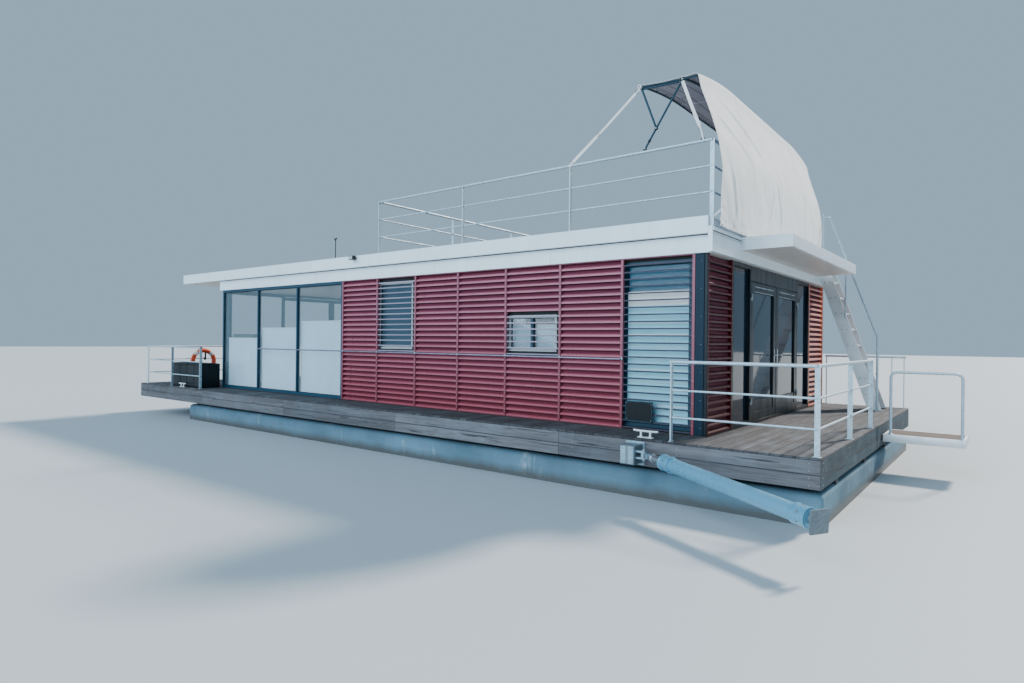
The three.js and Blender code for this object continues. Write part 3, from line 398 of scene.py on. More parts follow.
class Finish:
    """A node material under construction"""

    def __init__(self, name):
        self.material = bpy.data.materials.new(name)
        self.material.use_nodes = True
        self.tree = self.material.node_tree
        self.shader = self.tree.nodes["Principled BSDF"]
        self.object = self.add("ShaderNodeTexCoord").outputs["Object"]
        self.tint = self.add("ShaderNodeAttribute", attribute_name="tint").outputs["Fac"]

    def feed(self, socket, value):
        if isinstance(value, bpy.types.NodeSocket):
            self.tree.links.new(value, socket)
        elif socket.type == "RGBA":
            socket.default_value = (*tuple(value)[:3], 1)
        else:
            socket.default_value = value

    def add(self, kind, inputs=None, **settings):
        made = self.tree.nodes.new(kind)
        for key, value in settings.items():
            setattr(made, key, value)
        for key, value in (inputs or {}).items():
            self.feed(made.inputs[key], value)
        return made

    def own(self):
        """Places moved by the tint, so that every board has its own grain"""
        away = self.add("ShaderNodeVectorMath", {0: (17.3, 11.9, 5.7), "Scale": self.tint}, operation="SCALE")
        return self.add("ShaderNodeVectorMath", {0: self.object, 1: away.outputs[0]},
                        operation="ADD").outputs[0]

    def spread(self, place, stretch):
        return self.add("ShaderNodeVectorMath", {0: place or self.object, 1: stretch},
                        operation="MULTIPLY").outputs[0]

    def noise(self, scale, detail=4.0, rough=0.55, stretch=(1, 1, 1), place=None):
        inputs = {"Vector": self.spread(place, stretch), "Scale": scale, "Detail": detail, "Roughness": rough}
        return self.add("ShaderNodeTexNoise", inputs).outputs[0]

    def cells(self, scale, stretch=(1, 1, 1), place=None):
        spread = self.spread(place, stretch)
        return self.add("ShaderNodeTexVoronoi", {"Vector": spread, "Scale": scale}).outputs

    def level(self, value, low, high, to_low=0.0, to_high=1.0):
        return self.add("ShaderNodeMapRange", {"Value": value, "From Min": low, "From Max": high,
                                               "To Min": to_low, "To Max": to_high}).outputs[0]

    def mix(self, share, a, b, how="MIX"):
        return self.add("ShaderNodeMixRGB", {"Fac": share, "Color1": a, "Color2": b},
                        blend_type=how).outputs[0]

    def calc(self, operation, a, b=0.0):
        return self.add("ShaderNodeMath", {0: a, 1: b}, operation=operation).outputs[0]

    def over(self, base, share, strength, colour):
        """A colour laid over the base where share is high"""
        return self.mix(self.calc("MULTIPLY", share, strength), base, colour)

    def along(self, axis):
        return self.add("ShaderNodeSeparateXYZ", {0: self.object}).outputs[axis]

    def bump(self, height, distance, strength=1.0, under=None):
        inputs = {"Height": height, "Distance": distance, "Strength": strength}
        if under is not None:
            inputs["Normal"] = under
        return self.add("ShaderNodeBump", inputs).outputs[0]

    def give(self, inputs):
        for key, value in inputs.items():
            self.feed(self.shader.inputs[key], value)
        return self.material


def scaled(colour, factor):
    return tuple(min(c * factor, 1) for c in tuple(colour)[:3])


def concrete(finish, colour):
    """Cast concrete with clouds, pits, pale run-off and a damp band at the water"""
    cloud = finish.noise(0.8, 6, 0.6)
    patch = finish.noise(3.1, 5, 0.65, (1, 1, 1.6))
    grain = finish.noise(55, 5, 0.7)
    z = finish.along("Z")
    ragged = finish.calc("ADD", z, finish.calc("MULTIPLY", finish.noise(2.3, 6, 0.7, (1, 1, 0.4)), -0.16))
    damp = finish.level(ragged, 0.90, 0.77)
    runs = finish.level(finish.noise(1.0, 5, 0.7, (2.6, 2.6, 0.22)), 0.58, 0.70)
    broken = finish.level(finish.noise(9, 4, 0.7), 0.42, 0.62)
    pale = finish.calc("MULTIPLY", runs, broken)
    base = finish.mix(finish.level(cloud, 0.3, 0.7), scaled(colour, 0.6), scaled(colour, 1.25))
    base = finish.over(base, finish.level(patch, 0.45, 0.7), 0.35, tone(0x6E7F8A))
    base = finish.over(base, finish.level(grain, 0.35, 0.7), 0.3, scaled(colour, 0.6))
    base = finish.over(base, pale, 0.7, tone(0xD3DADD))
    base = finish.over(base, damp, 0.85, tone(0x3D352B))
    pits = finish.level(finish.cells(46)["Distance"], 0.18, 0.05)
    bump = finish.bump(finish.calc("SUBTRACT", grain, pits), 0.003, 0.5)
    return finish.give({"Base Color": base, "Normal": finish.bump(cloud, 0.01, 0.3, bump),
                        "Roughness": finish.level(ragged, 0.78, 0.92, 0.45, 0.88)})


def timber(finish, colour, axis="Y", dark=1.0):
    """Silvered boards: grain along an axis, cracks, knots and a tint of each board's own"""
    own = finish.own()
    stretch = {"X": (0.045, 1, 1), "Y": (1, 0.045, 1), "Z": (1, 1, 0.045)}[axis]
    fine = finish.noise(70, 6, 0.7, stretch, own)
    broad = finish.noise(9, 4, 0.6, stretch, own)
    cloud = finish.noise(1.7, 5, 0.6, place=own)
    knots = finish.level(finish.cells(3.4, tuple(s ** 0.3 for s in stretch), own)["Distance"], 0.11, 0.05)
    crack = finish.level(finish.noise(26, 3, 0.6, stretch, own), 0.62, 0.68)
    board = finish.level(finish.tint, 0, 1, 0.72, 1.2)
    base = finish.mix(finish.level(broad, 0.3, 0.7), scaled(colour, 0.5 * dark), scaled(colour, 1.25 * dark))
    base = finish.over(base, finish.level(fine, 0.4, 0.65), 0.55, scaled(colour, 0.42 * dark))
    base = finish.over(base, finish.level(cloud, 0.5, 0.75), 0.35, tone(0x75818A))
    base = finish.mix(1.0, base, board, "MULTIPLY")
    base = finish.over(base, knots, 0.75, tone(0x33291F))
    base = finish.over(base, crack, 0.8, tone(0x1E1B18))
    height = finish.calc("SUBTRACT", fine, crack)
    return finish.give({"Base Color": base, "Roughness": finish.level(fine, 0.3, 0.7, 0.72, 0.92),
                        "Normal": finish.bump(height, 0.0015, 0.6)})


def paint(finish, colour, rough=0.4, dust=0.12, wear=None, coat=0.15, spread=0.1, gloss=0.5, foot=None):
    """Factory paint: slight waves, dust that settles unevenly, a fine skin, and painted shade towards the
    bottom where a foot colour is given
    """
    cloud = finish.noise(1.3, 5, 0.6)
    streak = finish.noise(6, 5, 0.65, (1, 1, 0.12))
    skin = finish.noise(240, 2, 0.5)
    board = finish.level(finish.tint, 0, 1, 1 - spread, 1 + spread)
    base = finish.mix(finish.level(cloud, 0.3, 0.7), scaled(colour, 0.94), scaled(colour, 1.05))
    base = finish.mix(1.0, base, board, "MULTIPLY")
    base = finish.over(base, finish.level(streak, 0.5, 0.75), dust, tone(wear or 0x77736B))
    # Painted shade: the paint deepens to the foot colour from 3.3 m down to 1.8 m, standing in for the sheen
    # that the lower louvres lose
    if foot:
        base = finish.mix(finish.level(finish.along("Z"), 3.3, 1.8, 0, 0.75), base, tone(foot))
    return finish.give({"Base Color": base, "Coat Weight": coat, "Coat Roughness": 0.25,
                        "Specular IOR Level": gloss,
                        "Roughness": finish.level(streak, 0.3, 0.75, rough - 0.06, rough + 0.16),
                        "Normal": finish.bump(skin, 0.0004, 0.25, finish.bump(cloud, 0.004, 0.12))})


def zinc(finish, colour, rough=0.42, spangle=60, metal=0.75, dull=0.4, vary=0.16):
    """Hot-dip zinc: spangle, dull patches and a soft sheen"""
    cell = finish.cells(spangle)
    patch = finish.noise(4, 5, 0.6)
    crystal = finish.add("ShaderNodeSeparateColor", {0: cell["Color"]}).outputs[0]
    base = finish.mix(crystal, scaled(colour, 1 - vary), scaled(colour, 1 + vary))
    base = finish.over(base, finish.level(patch, 0.5, 0.72), dull, scaled(colour, 0.66))
    sheen = finish.calc("ADD", finish.level(crystal, 0, 1, rough - 0.06, rough + 0.06),
                        finish.level(patch, 0.45, 0.75, 0, 0.18))
    return finish.give({"Base Color": base, "Metallic": metal, "Roughness": sheen,
                        "Normal": finish.bump(crystal, 0.002 * vary, 0.2)})


def alloy(finish, colour, rough=0.34, axis="X", metal=0.85):
    """Drawn aluminium or steel: fine lines along an axis and a few scuffs"""
    stretch = {"X": (0.03, 1, 1), "Y": (1, 0.03, 1), "Z": (1, 1, 0.03)}[axis]
    line = finish.noise(420, 3, 0.6, stretch)
    patch = finish.noise(5, 5, 0.6)
    base = finish.mix(line, scaled(colour, 0.86), scaled(colour, 1.08))
    base = finish.over(base, finish.level(patch, 0.52, 0.75), 0.3, scaled(colour, 0.6))
    return finish.give({"Base Color": base, "Metallic": metal,
                        "Roughness": finish.level(patch, 0.3, 0.75, rough - 0.05, rough + 0.15),
                        "Normal": finish.bump(line, 0.0003, 0.2)})


def moulded(finish, colour, rough=0.5, grain=180.0, fade=0.12, gloss=0.5):
    """Moulded plastic or rubber with a fine grain and faded patches"""
    cloud = finish.noise(3.5, 5, 0.6)
    skin = finish.noise(grain, 3, 0.6)
    pale = tuple(c * 0.8 + 0.12 for c in tuple(colour)[:3])
    base = finish.mix(finish.calc("MULTIPLY", finish.level(cloud, 0.4, 0.75), fade), colour, pale)
    base = finish.over(base, skin, 0.15, scaled(colour, 0.6))
    return finish.give({"Base Color": base, "Specular IOR Level": gloss,
                        "Roughness": finish.level(cloud, 0.3, 0.7, rough - 0.06, rough + 0.1),
                        "Normal": finish.bump(skin, 0.0005, 0.4)})


def cloth(finish, colour, weave=420.0, soil=0.25, crease=0.5):
    """Woven cloth: two sets of threads, soil in patches and small creases"""
    x, y, z = (finish.along(axis) for axis in "XYZ")
    across = finish.calc("SINE", finish.calc("MULTIPLY", y, weave * 2))
    down = finish.calc("SINE", finish.calc("MULTIPLY", finish.calc("ADD", z, x), weave * 2))
    thread = finish.calc("MULTIPLY", across, down)
    cloud = finish.noise(1.5, 6, 0.65)
    spots = finish.noise(14, 5, 0.7)
    small = finish.noise(7, 5, 0.6, (1, 1.6, 0.6))
    base = finish.mix(finish.level(cloud, 0.3, 0.7), scaled(colour, 0.9), scaled(colour, 1.07))
    base = finish.over(base, finish.level(spots, 0.55, 0.75), soil, tone(0x8C857A))
    base = finish.mix(finish.level(thread, -1, 1, 0.0, 0.12), base, scaled(colour, 0.7))
    bump = finish.bump(thread, 0.0003, 0.3)
    return finish.give({"Base Color": base, "Roughness": 0.88, "Sheen Weight": 0.25, "Sheen Roughness": 0.5,
                        "Normal": finish.bump(small, 0.006, crease, bump)})


def pane(finish, colour, see=0.3, rough=0.02, gloss=1.0):
    """Window glass: mostly clear, with the gloss of both its faces and a faint bloom"""
    bloom = finish.noise(3, 4, 0.6)
    base = finish.mix(finish.level(bloom, 0.4, 0.8, 0, 0.15 * gloss), colour, tone(0x9FB4BC))
    return finish.give({"Base Color": base, "Alpha": see, "Specular IOR Level": gloss, "Coat Weight": gloss,
                        "Coat Roughness": 0.0,
                        "Roughness": finish.level(bloom, 0.3, 0.8, rough, rough + 0.03)})


def sheet_roof(finish, colour):
    """Bitumen sheet with slate grit, laid in strips along Y"""
    grit = finish.noise(260, 4, 0.75)
    cloud = finish.noise(1.1, 5, 0.6)
    strip = finish.calc("FRACT", finish.along("X"))
    lap = finish.level(strip, 0.06, 0.05)
    base = finish.mix(grit, scaled(colour, 0.6), scaled(colour, 1.3))
    base = finish.over(base, finish.level(cloud, 0.45, 0.7), 0.4, tone(0x4B5347))
    base = finish.over(base, lap, 0.4, tone(0x2B2D2E))
    height = finish.calc("ADD", finish.calc("MULTIPLY", grit, 0.3), lap)
    return finish.give({"Base Color": base, "Roughness": 0.93, "Normal": finish.bump(height, 0.004, 0.5)})


def two_faced(finish, outside, inside):
    """The wall between the cabin and its louvres: painted near-black outside as the shade behind the louvres,
    painted board inside
    """
    y = finish.calc("ABSOLUTE", finish.calc("SUBTRACT", finish.along("Y"), 0.26))
    outer = finish.calc("GREATER_THAN", y, 3.13)
    cloud = finish.noise(2.1, 5, 0.6)
    inner_colour = finish.mix(cloud, scaled(inside, 0.93), inside)
    outer_colour = finish.mix(cloud, scaled(outside, 0.7), scaled(outside, 1.2))
    return finish.give({"Base Color": finish.mix(outer, inner_colour, outer_colour), "Roughness": 0.7,
                        "Normal": finish.bump(finish.noise(120, 3), 0.0005, 0.3)})


def planks(finish, colour):
    """Laminate planks along X, 190 mm wide, with a near-black band painted at the rim as shade under the
    walls
    """
    own = finish.calc("FLOOR", finish.calc("DIVIDE", finish.along("Y"), 0.19))
    value = finish.add("ShaderNodeTexWhiteNoise", {"W": own}, noise_dimensions="1D").outputs[0]
    groove = finish.level(finish.calc("FRACT", finish.calc("DIVIDE", finish.along("Y"), 0.19)), 0.03, 0.015)
    grain = finish.noise(40, 5, 0.65, (0.05, 1, 1))
    base = finish.mix(value, scaled(colour, 0.8), scaled(colour, 1.15))
    base = finish.mix(finish.level(grain, 0.4, 0.7, 0, 0.4), base, scaled(colour, 0.6))
    base = finish.over(base, groove, 0.7, scaled(colour, 0.25))
    # Painted shade: the floor's rim under the walls is painted near-black
    aside = finish.calc("ABSOLUTE", finish.calc("SUBTRACT", finish.along("Y"), 0.26))
    ahead = finish.calc("ABSOLUTE", finish.calc("ADD", finish.along("X"), 0.455))
    rim = finish.calc("MAXIMUM", finish.calc("GREATER_THAN", aside, 3.18),
                      finish.calc("GREATER_THAN", ahead, 6.19))
    base = finish.mix(rim, base, tone(0x241A1C))
    return finish.give({"Base Color": base, "Roughness": 0.45, "Normal": finish.bump(groove, -0.001, 0.5)})


def recipes(c):
    """Every finish by its name: the function that makes it and what it gets"""
    return {
        "cast_concrete": (concrete, c.hull),
        # Deck tops at 0.46 of the timber's tone: the boards' weathered grey, darkened further with painted
        # shade over the decks
        "deck_timber": (timber, scaled(c.timber, 0.46), "Y"),
        # The near walkway along the cabin is darker still: painted shade under the louvres
        "walkway_timber_painted_shade": (timber, scaled(c.timber, 0.36), "Y"),
        "long_timber": (timber, c.timber, "X"),
        "edge_timber_long": (timber, scaled(c.timber, 0.9), "X"),
        # End boards in a dark blue-grey: painted shade on the deck's end faces
        "edge_timber_ends_shaded": (timber, tone(0x2C4552), "Y"),
        # The frame under the deck at 0.4 of the timber's tone: painted shade under the deck
        "frame_timber": (timber, c.timber, "Y", 0.4),
        "louvre_paint": (paint, c.louvre, 0.3, 0.14, 0xC39AA6, 0.35, 0.1, 0.5, 0x93323F),
        # Two copies of the louvre paint for the end panels: a dark one as painted shade on the near panel, a
        # bright orange one as painted sunlight on the far panel
        "louvre_painted_shade": (paint, tone(0x54191F), 0.4, 0.06, 0x7A5A60, 0.05, 0.1, 0.15),
        "louvre_painted_sun": (paint, tone(0xDC7656), 0.36, 0.10, 0xE0B090, 0.3),
        "louvre_edge": (paint, scaled(c.louvre, 0.7), 0.42, 0.3, 0xA48593, 0.15, 0.1, 0.3, 0x7C2A36),
        # The slats' backs in a darker paint: painted shade in the recesses
        "louvre_deep": (paint, c.louvre_deep, 0.5, 0.1, 0x5B2A3C, 0.0, 0.1, 0.1, 0x64202C),
        # Two copies of the level blades' paint: a pale one as painted light and a dark one as painted shade
        "blade_painted_light": (paint, tone(0x8C8194), 0.35, 0.15, 0xA99FB0, 0.3, 0.2),
        "blade_painted_shade": (paint, tone(0x302C3E), 0.4, 0.15, 0x6C6072, 0.1, 0.1, 0.25),
        "roof_paint": (paint, c.roof, 0.4, 0.10, None, 0.15, 0.03),
        "soffit_paint": (paint, tone(0xD6CFC8), 0.5, 0.12, 0x8D8378, 0.15, 0.04),
        "awning_paint": (paint, scaled(c.roof, 0.98), 0.36, 0.06, None, 0.15, 0.03),
        "frame_paint": (paint, c.frame, 0.38, 0.10, 0x4E6A76, 0.1, 0.1, 0.3),
        "pale_frame_paint": (paint, c.pale_frame, 0.4, 0.10),
        "corner_paint": (paint, tone(0x072434), 0.4, 0.08, 0x3F5965, 0.05, 0.1, 0.15),
        # A darker copy of the frame paint for the boarding end: partly its own dark paint, partly painted
        # shade under the awning
        "door_paint": (paint, tone(0x0F181F), 0.34, 0.08, 0x3C4B54, 0.08, 0.1, 0.2),
        "white_paint": (paint, tone(0xDDE0E1), 0.4, 0.16, 0x8A8072),
        "dark_paint": (paint, c.canopy_tube, 0.34, 0.10, 0x54707C, 0.08, 0.1, 0.25),
        "seam_shadow": (moulded, tone(0x23282B), 0.8),
        "wall_board": (two_faced, tone(0x15181B), tone(0xE6E4DE)),
        "cabin_planks": (planks, c.cabin_floor),
        "blind_cloth": (cloth, c.blind, 700.0, 0.05, 0.1),
        # The tall window's blind in pale sky blue: painted reflection of the sky in its glass
        "blind_painted_sky": (cloth, tone(0xA8EAFF), 700.0, 0.04, 0.1),
        "blind_rail": (paint, tone(0xF2F2F3), 0.4, 0.04),
        "gasket_rubber": (moulded, tone(0x0E1012), 0.6, 180.0, 0.05, 0.2),
        "clear_glass": (pane, tone(0x9DB4BF), 0.16),
        # Near-opaque dark panes: tinted glass with painted shade of the unlit cabin behind
        "dark_glass": (pane, tone(0x14293A), 0.93, 0.04, 0.18),
        "slate_glass": (pane, tone(0x486575), 0.88, 0.04, 0.3),
        # Blue tint of the tall window's glass: painted reflection of the sky
        "mirror_glass": (pane, tone(0x4FA3C8), 0.26, 0.02, 0.5),
        "zinc_rail": (zinc, c.zinc, 0.4, 60, 0.35, 0.2),
        "zinc_tube": (zinc, tone(0x6FA9C6), 0.28, 200, 0.5, 0.03, 0.02),
        "dark_zinc": (zinc, scaled(c.zinc, 0.4), 0.4, 60, 0.5, 0.3),
        "bracket_zinc": (zinc, tone(0x8FA9B6), 0.36, 60, 0.6, 0.45),
        # Mauve tint of the grab rails: painted reflection of the louvres in the steel
        "grab_steel": (zinc, tone(0x8D8798), 0.3, 90, 0.7, 0.3, 0.1),
        "plug_plastic": (moulded, tone(0x1B1F22), 0.5, 180.0, 0.06, 0.3),
        "stair_alloy": (alloy, c.alloy, 0.42, "Z", 0.55),
        "tread_alloy": (alloy, scaled(c.alloy, 0.96), 0.45, "Y", 0.55),
        "bright_steel": (alloy, tone(0xC9CED1), 0.24, "X", 1.0),
        "fastener_steel": (alloy, tone(0x9BA1A5), 0.35, "Z", 1.0),
        "canvas": (cloth, c.canvas),
        "canvas_seam": (cloth, scaled(c.canvas, 0.86)),
        # The cloth's inner face in a darker copy of the canvas, darker still at the bow pockets: painted
        # shade on the underside
        "canvas_underside_shaded": (cloth, tone(0x9D97A2)),
        "canvas_pocket_shaded": (cloth, tone(0x6B6672)),
        "webbing": (cloth, c.webbing, 900.0, 0.3, 0.2),
        "locker_plastic": (moulded, c.locker, 0.46, 160.0, 0.03, 0.25),
        "buoy_shell": (moulded, c.buoy, 0.42, 90.0, 0.3),
        "buoy_band": (moulded, tone(0xDCDDDA), 0.45, 90.0, 0.1),
        "buoy_rope": (cloth, tone(0xC9CFD2), 900.0, 0.3, 0.3),
        "black_plastic": (moulded, tone(0x15181A), 0.45, 180.0, 0.06, 0.3),
        "board_face": (paint, tone(0x0E1317), 0.35, 0.06, 0x3C454C, 0.08, 0.05, 0.15),
        "tread_rubber": (moulded, c.tread, 0.75, 70.0, 0.3),
        "roof_sheet": (sheet_roof, c.membrane),
        "lamp_glass": (pane, tone(0xDCE4E8), 0.7, 0.1),
    }


def material(name):
    """The finish of that name, made once"""
    if name in bpy.data.materials:
        return bpy.data.materials[name]
    make, *values = recipes(bpy.context.scene.houseboat_colours)[name]
    return make(Finish(name), *values)


def repaint(node, name):
    """A CAD node that stays gets a finish of its own"""
    slots = frame["nodes"][node].material_slots
    if not slots:
        frame["nodes"][node].data.materials.append(material(name))
    for held in slots:
        held.material = material(name)


# Hull and deck

class HOUSEBOAT_OT_pontoon(bpy.types.Operator):
    """Concrete pontoon with eased edges"""
    bl_idname = "houseboat.pontoon"
    bl_label = "Pontoon"

    def execute(self, context):
        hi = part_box("pontoon")[1]
        corner, top_edge = 0.06, 0.07
        levels = [(0.0, 0.03), (0.03, 0.0), (hi.z - top_edge, 0.0)]
        for step in range(1, 6):
            angle = math.pi / 2 * step / 5
            levels.append((hi.z - top_edge * (1 - math.sin(angle)), top_edge * (1 - math.cos(angle))))
        rings = []
        for z, inset in levels:
            x, y = hi.x - inset, hi.y - inset
            outline = plate(-x, -y, x, y, corner, 5)
            rings.append([(a, b, z) for a, b in outline])
        form = Form("cast_concrete").rings(rings)
        form.build("pontoon_shell", "boat", "concrete", ["pontoon"])
        return {"FINISHED"}


def butted(form, start, end, longest, chance, lay, joint=0.003):
    """Lays a row of boards end to end between two places; lay(a, b) makes one"""
    count = max(math.ceil((end - start) / longest), 1)
    step = (end - start) / count
    for i in range(count):
        form.tint = chance.random()
        lay(start + i * step + joint / 2, start + (i + 1) * step - joint / 2)


class HOUSEBOAT_OT_deck(bpy.types.Operator):
    """Deck boards, edge boards in two rows, and the timber frame below"""
    bl_idname = "houseboat.deck"
    bl_label = "Deck"

    def execute(self, context):
        deck = context.scene.houseboat_deck
        chance = random.Random(11)
        lo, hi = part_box("deck_boards")
        gap = deck.gap / 2
        trim = 0.12
        form = Form("deck_timber")
        for x0, x1, y0, y1 in (
                (lo.x + trim, CABIN_X[0], lo.y, hi.y),
                (CABIN_X[0], CABIN_X[1], lo.y, CABIN_Y[0]),
                (CABIN_X[1], hi.x - trim, lo.y, hi.y)):
            count = round((x1 - x0) / deck.pitch)
            step = (x1 - x0) / count
            # Boards of the near walkway take the darker timber, painted shade under the louvres
            form.use("walkway_timber_painted_shade" if x0 == CABIN_X[0] else "deck_timber")
            for i in range(count):
                form.tint = chance.random()
                start, end = x0 + i * step + gap, x0 + (i + 1) * step - gap
                form.block((start, y0 + 0.002 * chance.random(), lo.z),
                           (end, y1 - 0.001, hi.z - 0.0015 * chance.random()), deck.ease)
        for x0, x1 in ((lo.x, lo.x + trim - gap), (hi.x - trim + gap, hi.x)):
            form.tint = 0.95
            form.block((x0, lo.y, lo.z), (x1, hi.y, hi.z), deck.ease * 1.5)
        form.use("long_timber")
        butted(form, CABIN_X[0], CABIN_X[1], deck.edge_length, chance, lambda a, b: form.block(
            (a, CABIN_Y[1] + 0.004, lo.z), (b, hi.y, hi.z), deck.ease))
        joists = (-3.45, -2.7, -1.8, -0.9, 0, 0.9, 1.8, 2.7, 3.45)
        for x0, x1 in ((lo.x + trim, CABIN_X[0]), (CABIN_X[1], hi.x - trim)):
            count = round((x1 - x0) / deck.pitch)
            middles = [x0 + (i + 0.5) * (x1 - x0) / count for i in range(count)]
            form.screws([(x + side, y, hi.z - 0.002) for x in middles for y in joists
                         for side in (-0.035, 0.035)], UP, 0.0045)
        form.build("deck_planks", "boat", "timber", ["deck_boards"])
        self.edge_boards(deck, chance)
        repaint("deck_frame", "frame_timber")
        repaint("cabin_floor", "cabin_planks")
        return {"FINISHED"}

    def edge_boards(self, deck, chance):
        """Two rows of boards over the frame's edge all round"""
        lo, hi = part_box("deck_boards")
        low = hi.z - 0.350
        middle = (low + lo.z) / 2
        half = deck.edge_groove / 2
        proud, depth = 0.001, 0.030
        for name, finish, along_x, start, end, count in (
                ("edge_boards_long", "edge_timber_long", True, lo.x, hi.x, 12),
                ("edge_boards_ends", "edge_timber_ends_shaded", False, lo.y, hi.y, 6)):
            def spot(across, along, z):
                return (along, across, z) if along_x else (across, along, z)

            form = Form(finish)
            over = proud if along_x else 0
            faces = [(side, side * (hi.y + proud) if along_x else (hi.x if side > 0 else lo.x) + side * proud)
                     for side in (-1, 1)]
            for z0, z1 in ((low, middle - half), (middle + half, lo.z - 0.001)):
                for side, face in faces:
                    butted(form, start - over, end + over, deck.edge_length, chance, lambda a, b: form.block(
                        spot(face, a, z0), spot(face - side * depth, b, z1), deck.ease * 1.4))
            for z in (low + 0.04, middle - 0.04, middle + 0.04, lo.z - 0.04):
                for side, face in faces:
                    form.screws([spot(face, along, z) for along in evenly(start + 0.12, end - 0.12, count)],
                                spot(side, 0, 0), 0.006)
            form.build(name, "boat", "timber")


class HOUSEBOAT_OT_cleats(bpy.types.Operator):
    """Four mooring cleats with rounded horns"""
    bl_idname = "houseboat.cleats"
    bl_label = "Cleats"

    def execute(self, context):
        for node in ("cleat_near_boarding", "cleat_near_lake", "cleat_far_boarding", "cleat_far_lake"):
            lo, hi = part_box(node)
            x, y = (lo.x + hi.x) / 2, (lo.y + hi.y) / 2
            form = Form("white_paint", place=shift(x, y, DECK))
            form.prism(plate(-0.11, -0.032, 0.11, 0.032, 0.02), "Z", 0.0003, 0.010)
            for at in (-0.065, 0.065):
                form.turned([(0.026, 0.009), (0.018, 0.018), (0.014, 0.035), (0.015, 0.078)], (at, 0, 0),
                            sides=16)
            form.pipe([(-0.175, 0, 0.092), (-0.15, 0, 0.088), (-0.09, 0, 0.086), (0.09, 0, 0.086),
                       (0.15, 0, 0.088), (0.175, 0, 0.092)], 0.0135, 16, ease=0.004)
            form.screws([(-0.095, 0, 0.010), (-0.035, 0.018, 0.010), (0.035, 0.018, 0.010),
                         (0.095, 0, 0.010)], UP, 0.007)
            form.build(node + "_piece", "boat", "white", [node])
        return {"FINISHED"}


# Louvres and walls

BAY = {"count": 7, "pitch": 1.068, "post": 0.040, "depth": 0.070, "start": -1.889}
SLAT = {"count": 24, "pitch": 0.100, "first": 0.004, "front": 0.0095, "strip": 0.008}
WINDOWS = (
    {"name": "tall", "bay": 6, "x": (4.530, 5.555), "z": (0.050, 2.380), "sashes": 1},
    {"name": "small", "bay": 4, "x": (2.397, 3.360), "z": (1.080, 1.660), "sashes": 2},
    {"name": "middle", "bay": 1, "x": (-0.850, 0.116), "z": (1.070, 2.350), "sashes": 1},
)
LOUVRE_HEIGHT = CORE[1] - CORE[0]

# Sections of the slats, depth and height: a folded face over a back painted dark as shade, and at a window a
# level blade
FACE = ((0, 0), (0, 0.024), (0.022, 0.044), (0.047, 0.049), (0.047, 0.045), (0.024, 0.040), (0.004, 0.021),
        (0.004, 0))
BACK = ((0.040, 0.044), (0.049, 0.094), (0.053, 0.094), (0.046, 0.044))
NOSE = ((0, 0.006), (0.009, 0.006), (0.009, 0.027), (0, 0.027))
BLADE = ((0.008, 0.010), (0.058, 0.014), (0.058, 0.024), (0.008, 0.025))


def slat(form, row, blade, front, nose, start, end, tint, look="louvre_paint"):
    z = SLAT["first"] + row * SLAT["pitch"]
    sections = ((NOSE, blade), (BLADE, blade)) if blade else ((FACE, look), (BACK, "louvre_deep"))
    for section, finish in sections:
        outline = rounded([(front + y, up + z) for y, up in section], nose, 2)
        form.use(finish, tint).prism(outline, "X", start, end)


def upright(form, x, depth, look, tint, radius):
    """A strip over the ends of the slats, with its screws"""
    form.use(look, tint).block((x, 0, 0), (x + BAY["post"], depth, LOUVRE_HEIGHT))
    form.screws([(x + BAY["post"] / 2, 0, row * SLAT["pitch"] + 0.02) for row in range(1, SLAT["count"], 3)],
                (0, -1, 0), radius)


def is_level(row, column):
    z = CORE[0] - DECK + SLAT["first"] + row * SLAT["pitch"]
    return any(w["bay"] == column and w["z"][0] - 0.092 < z < w["z"][1] - 0.030 for w in WINDOWS)


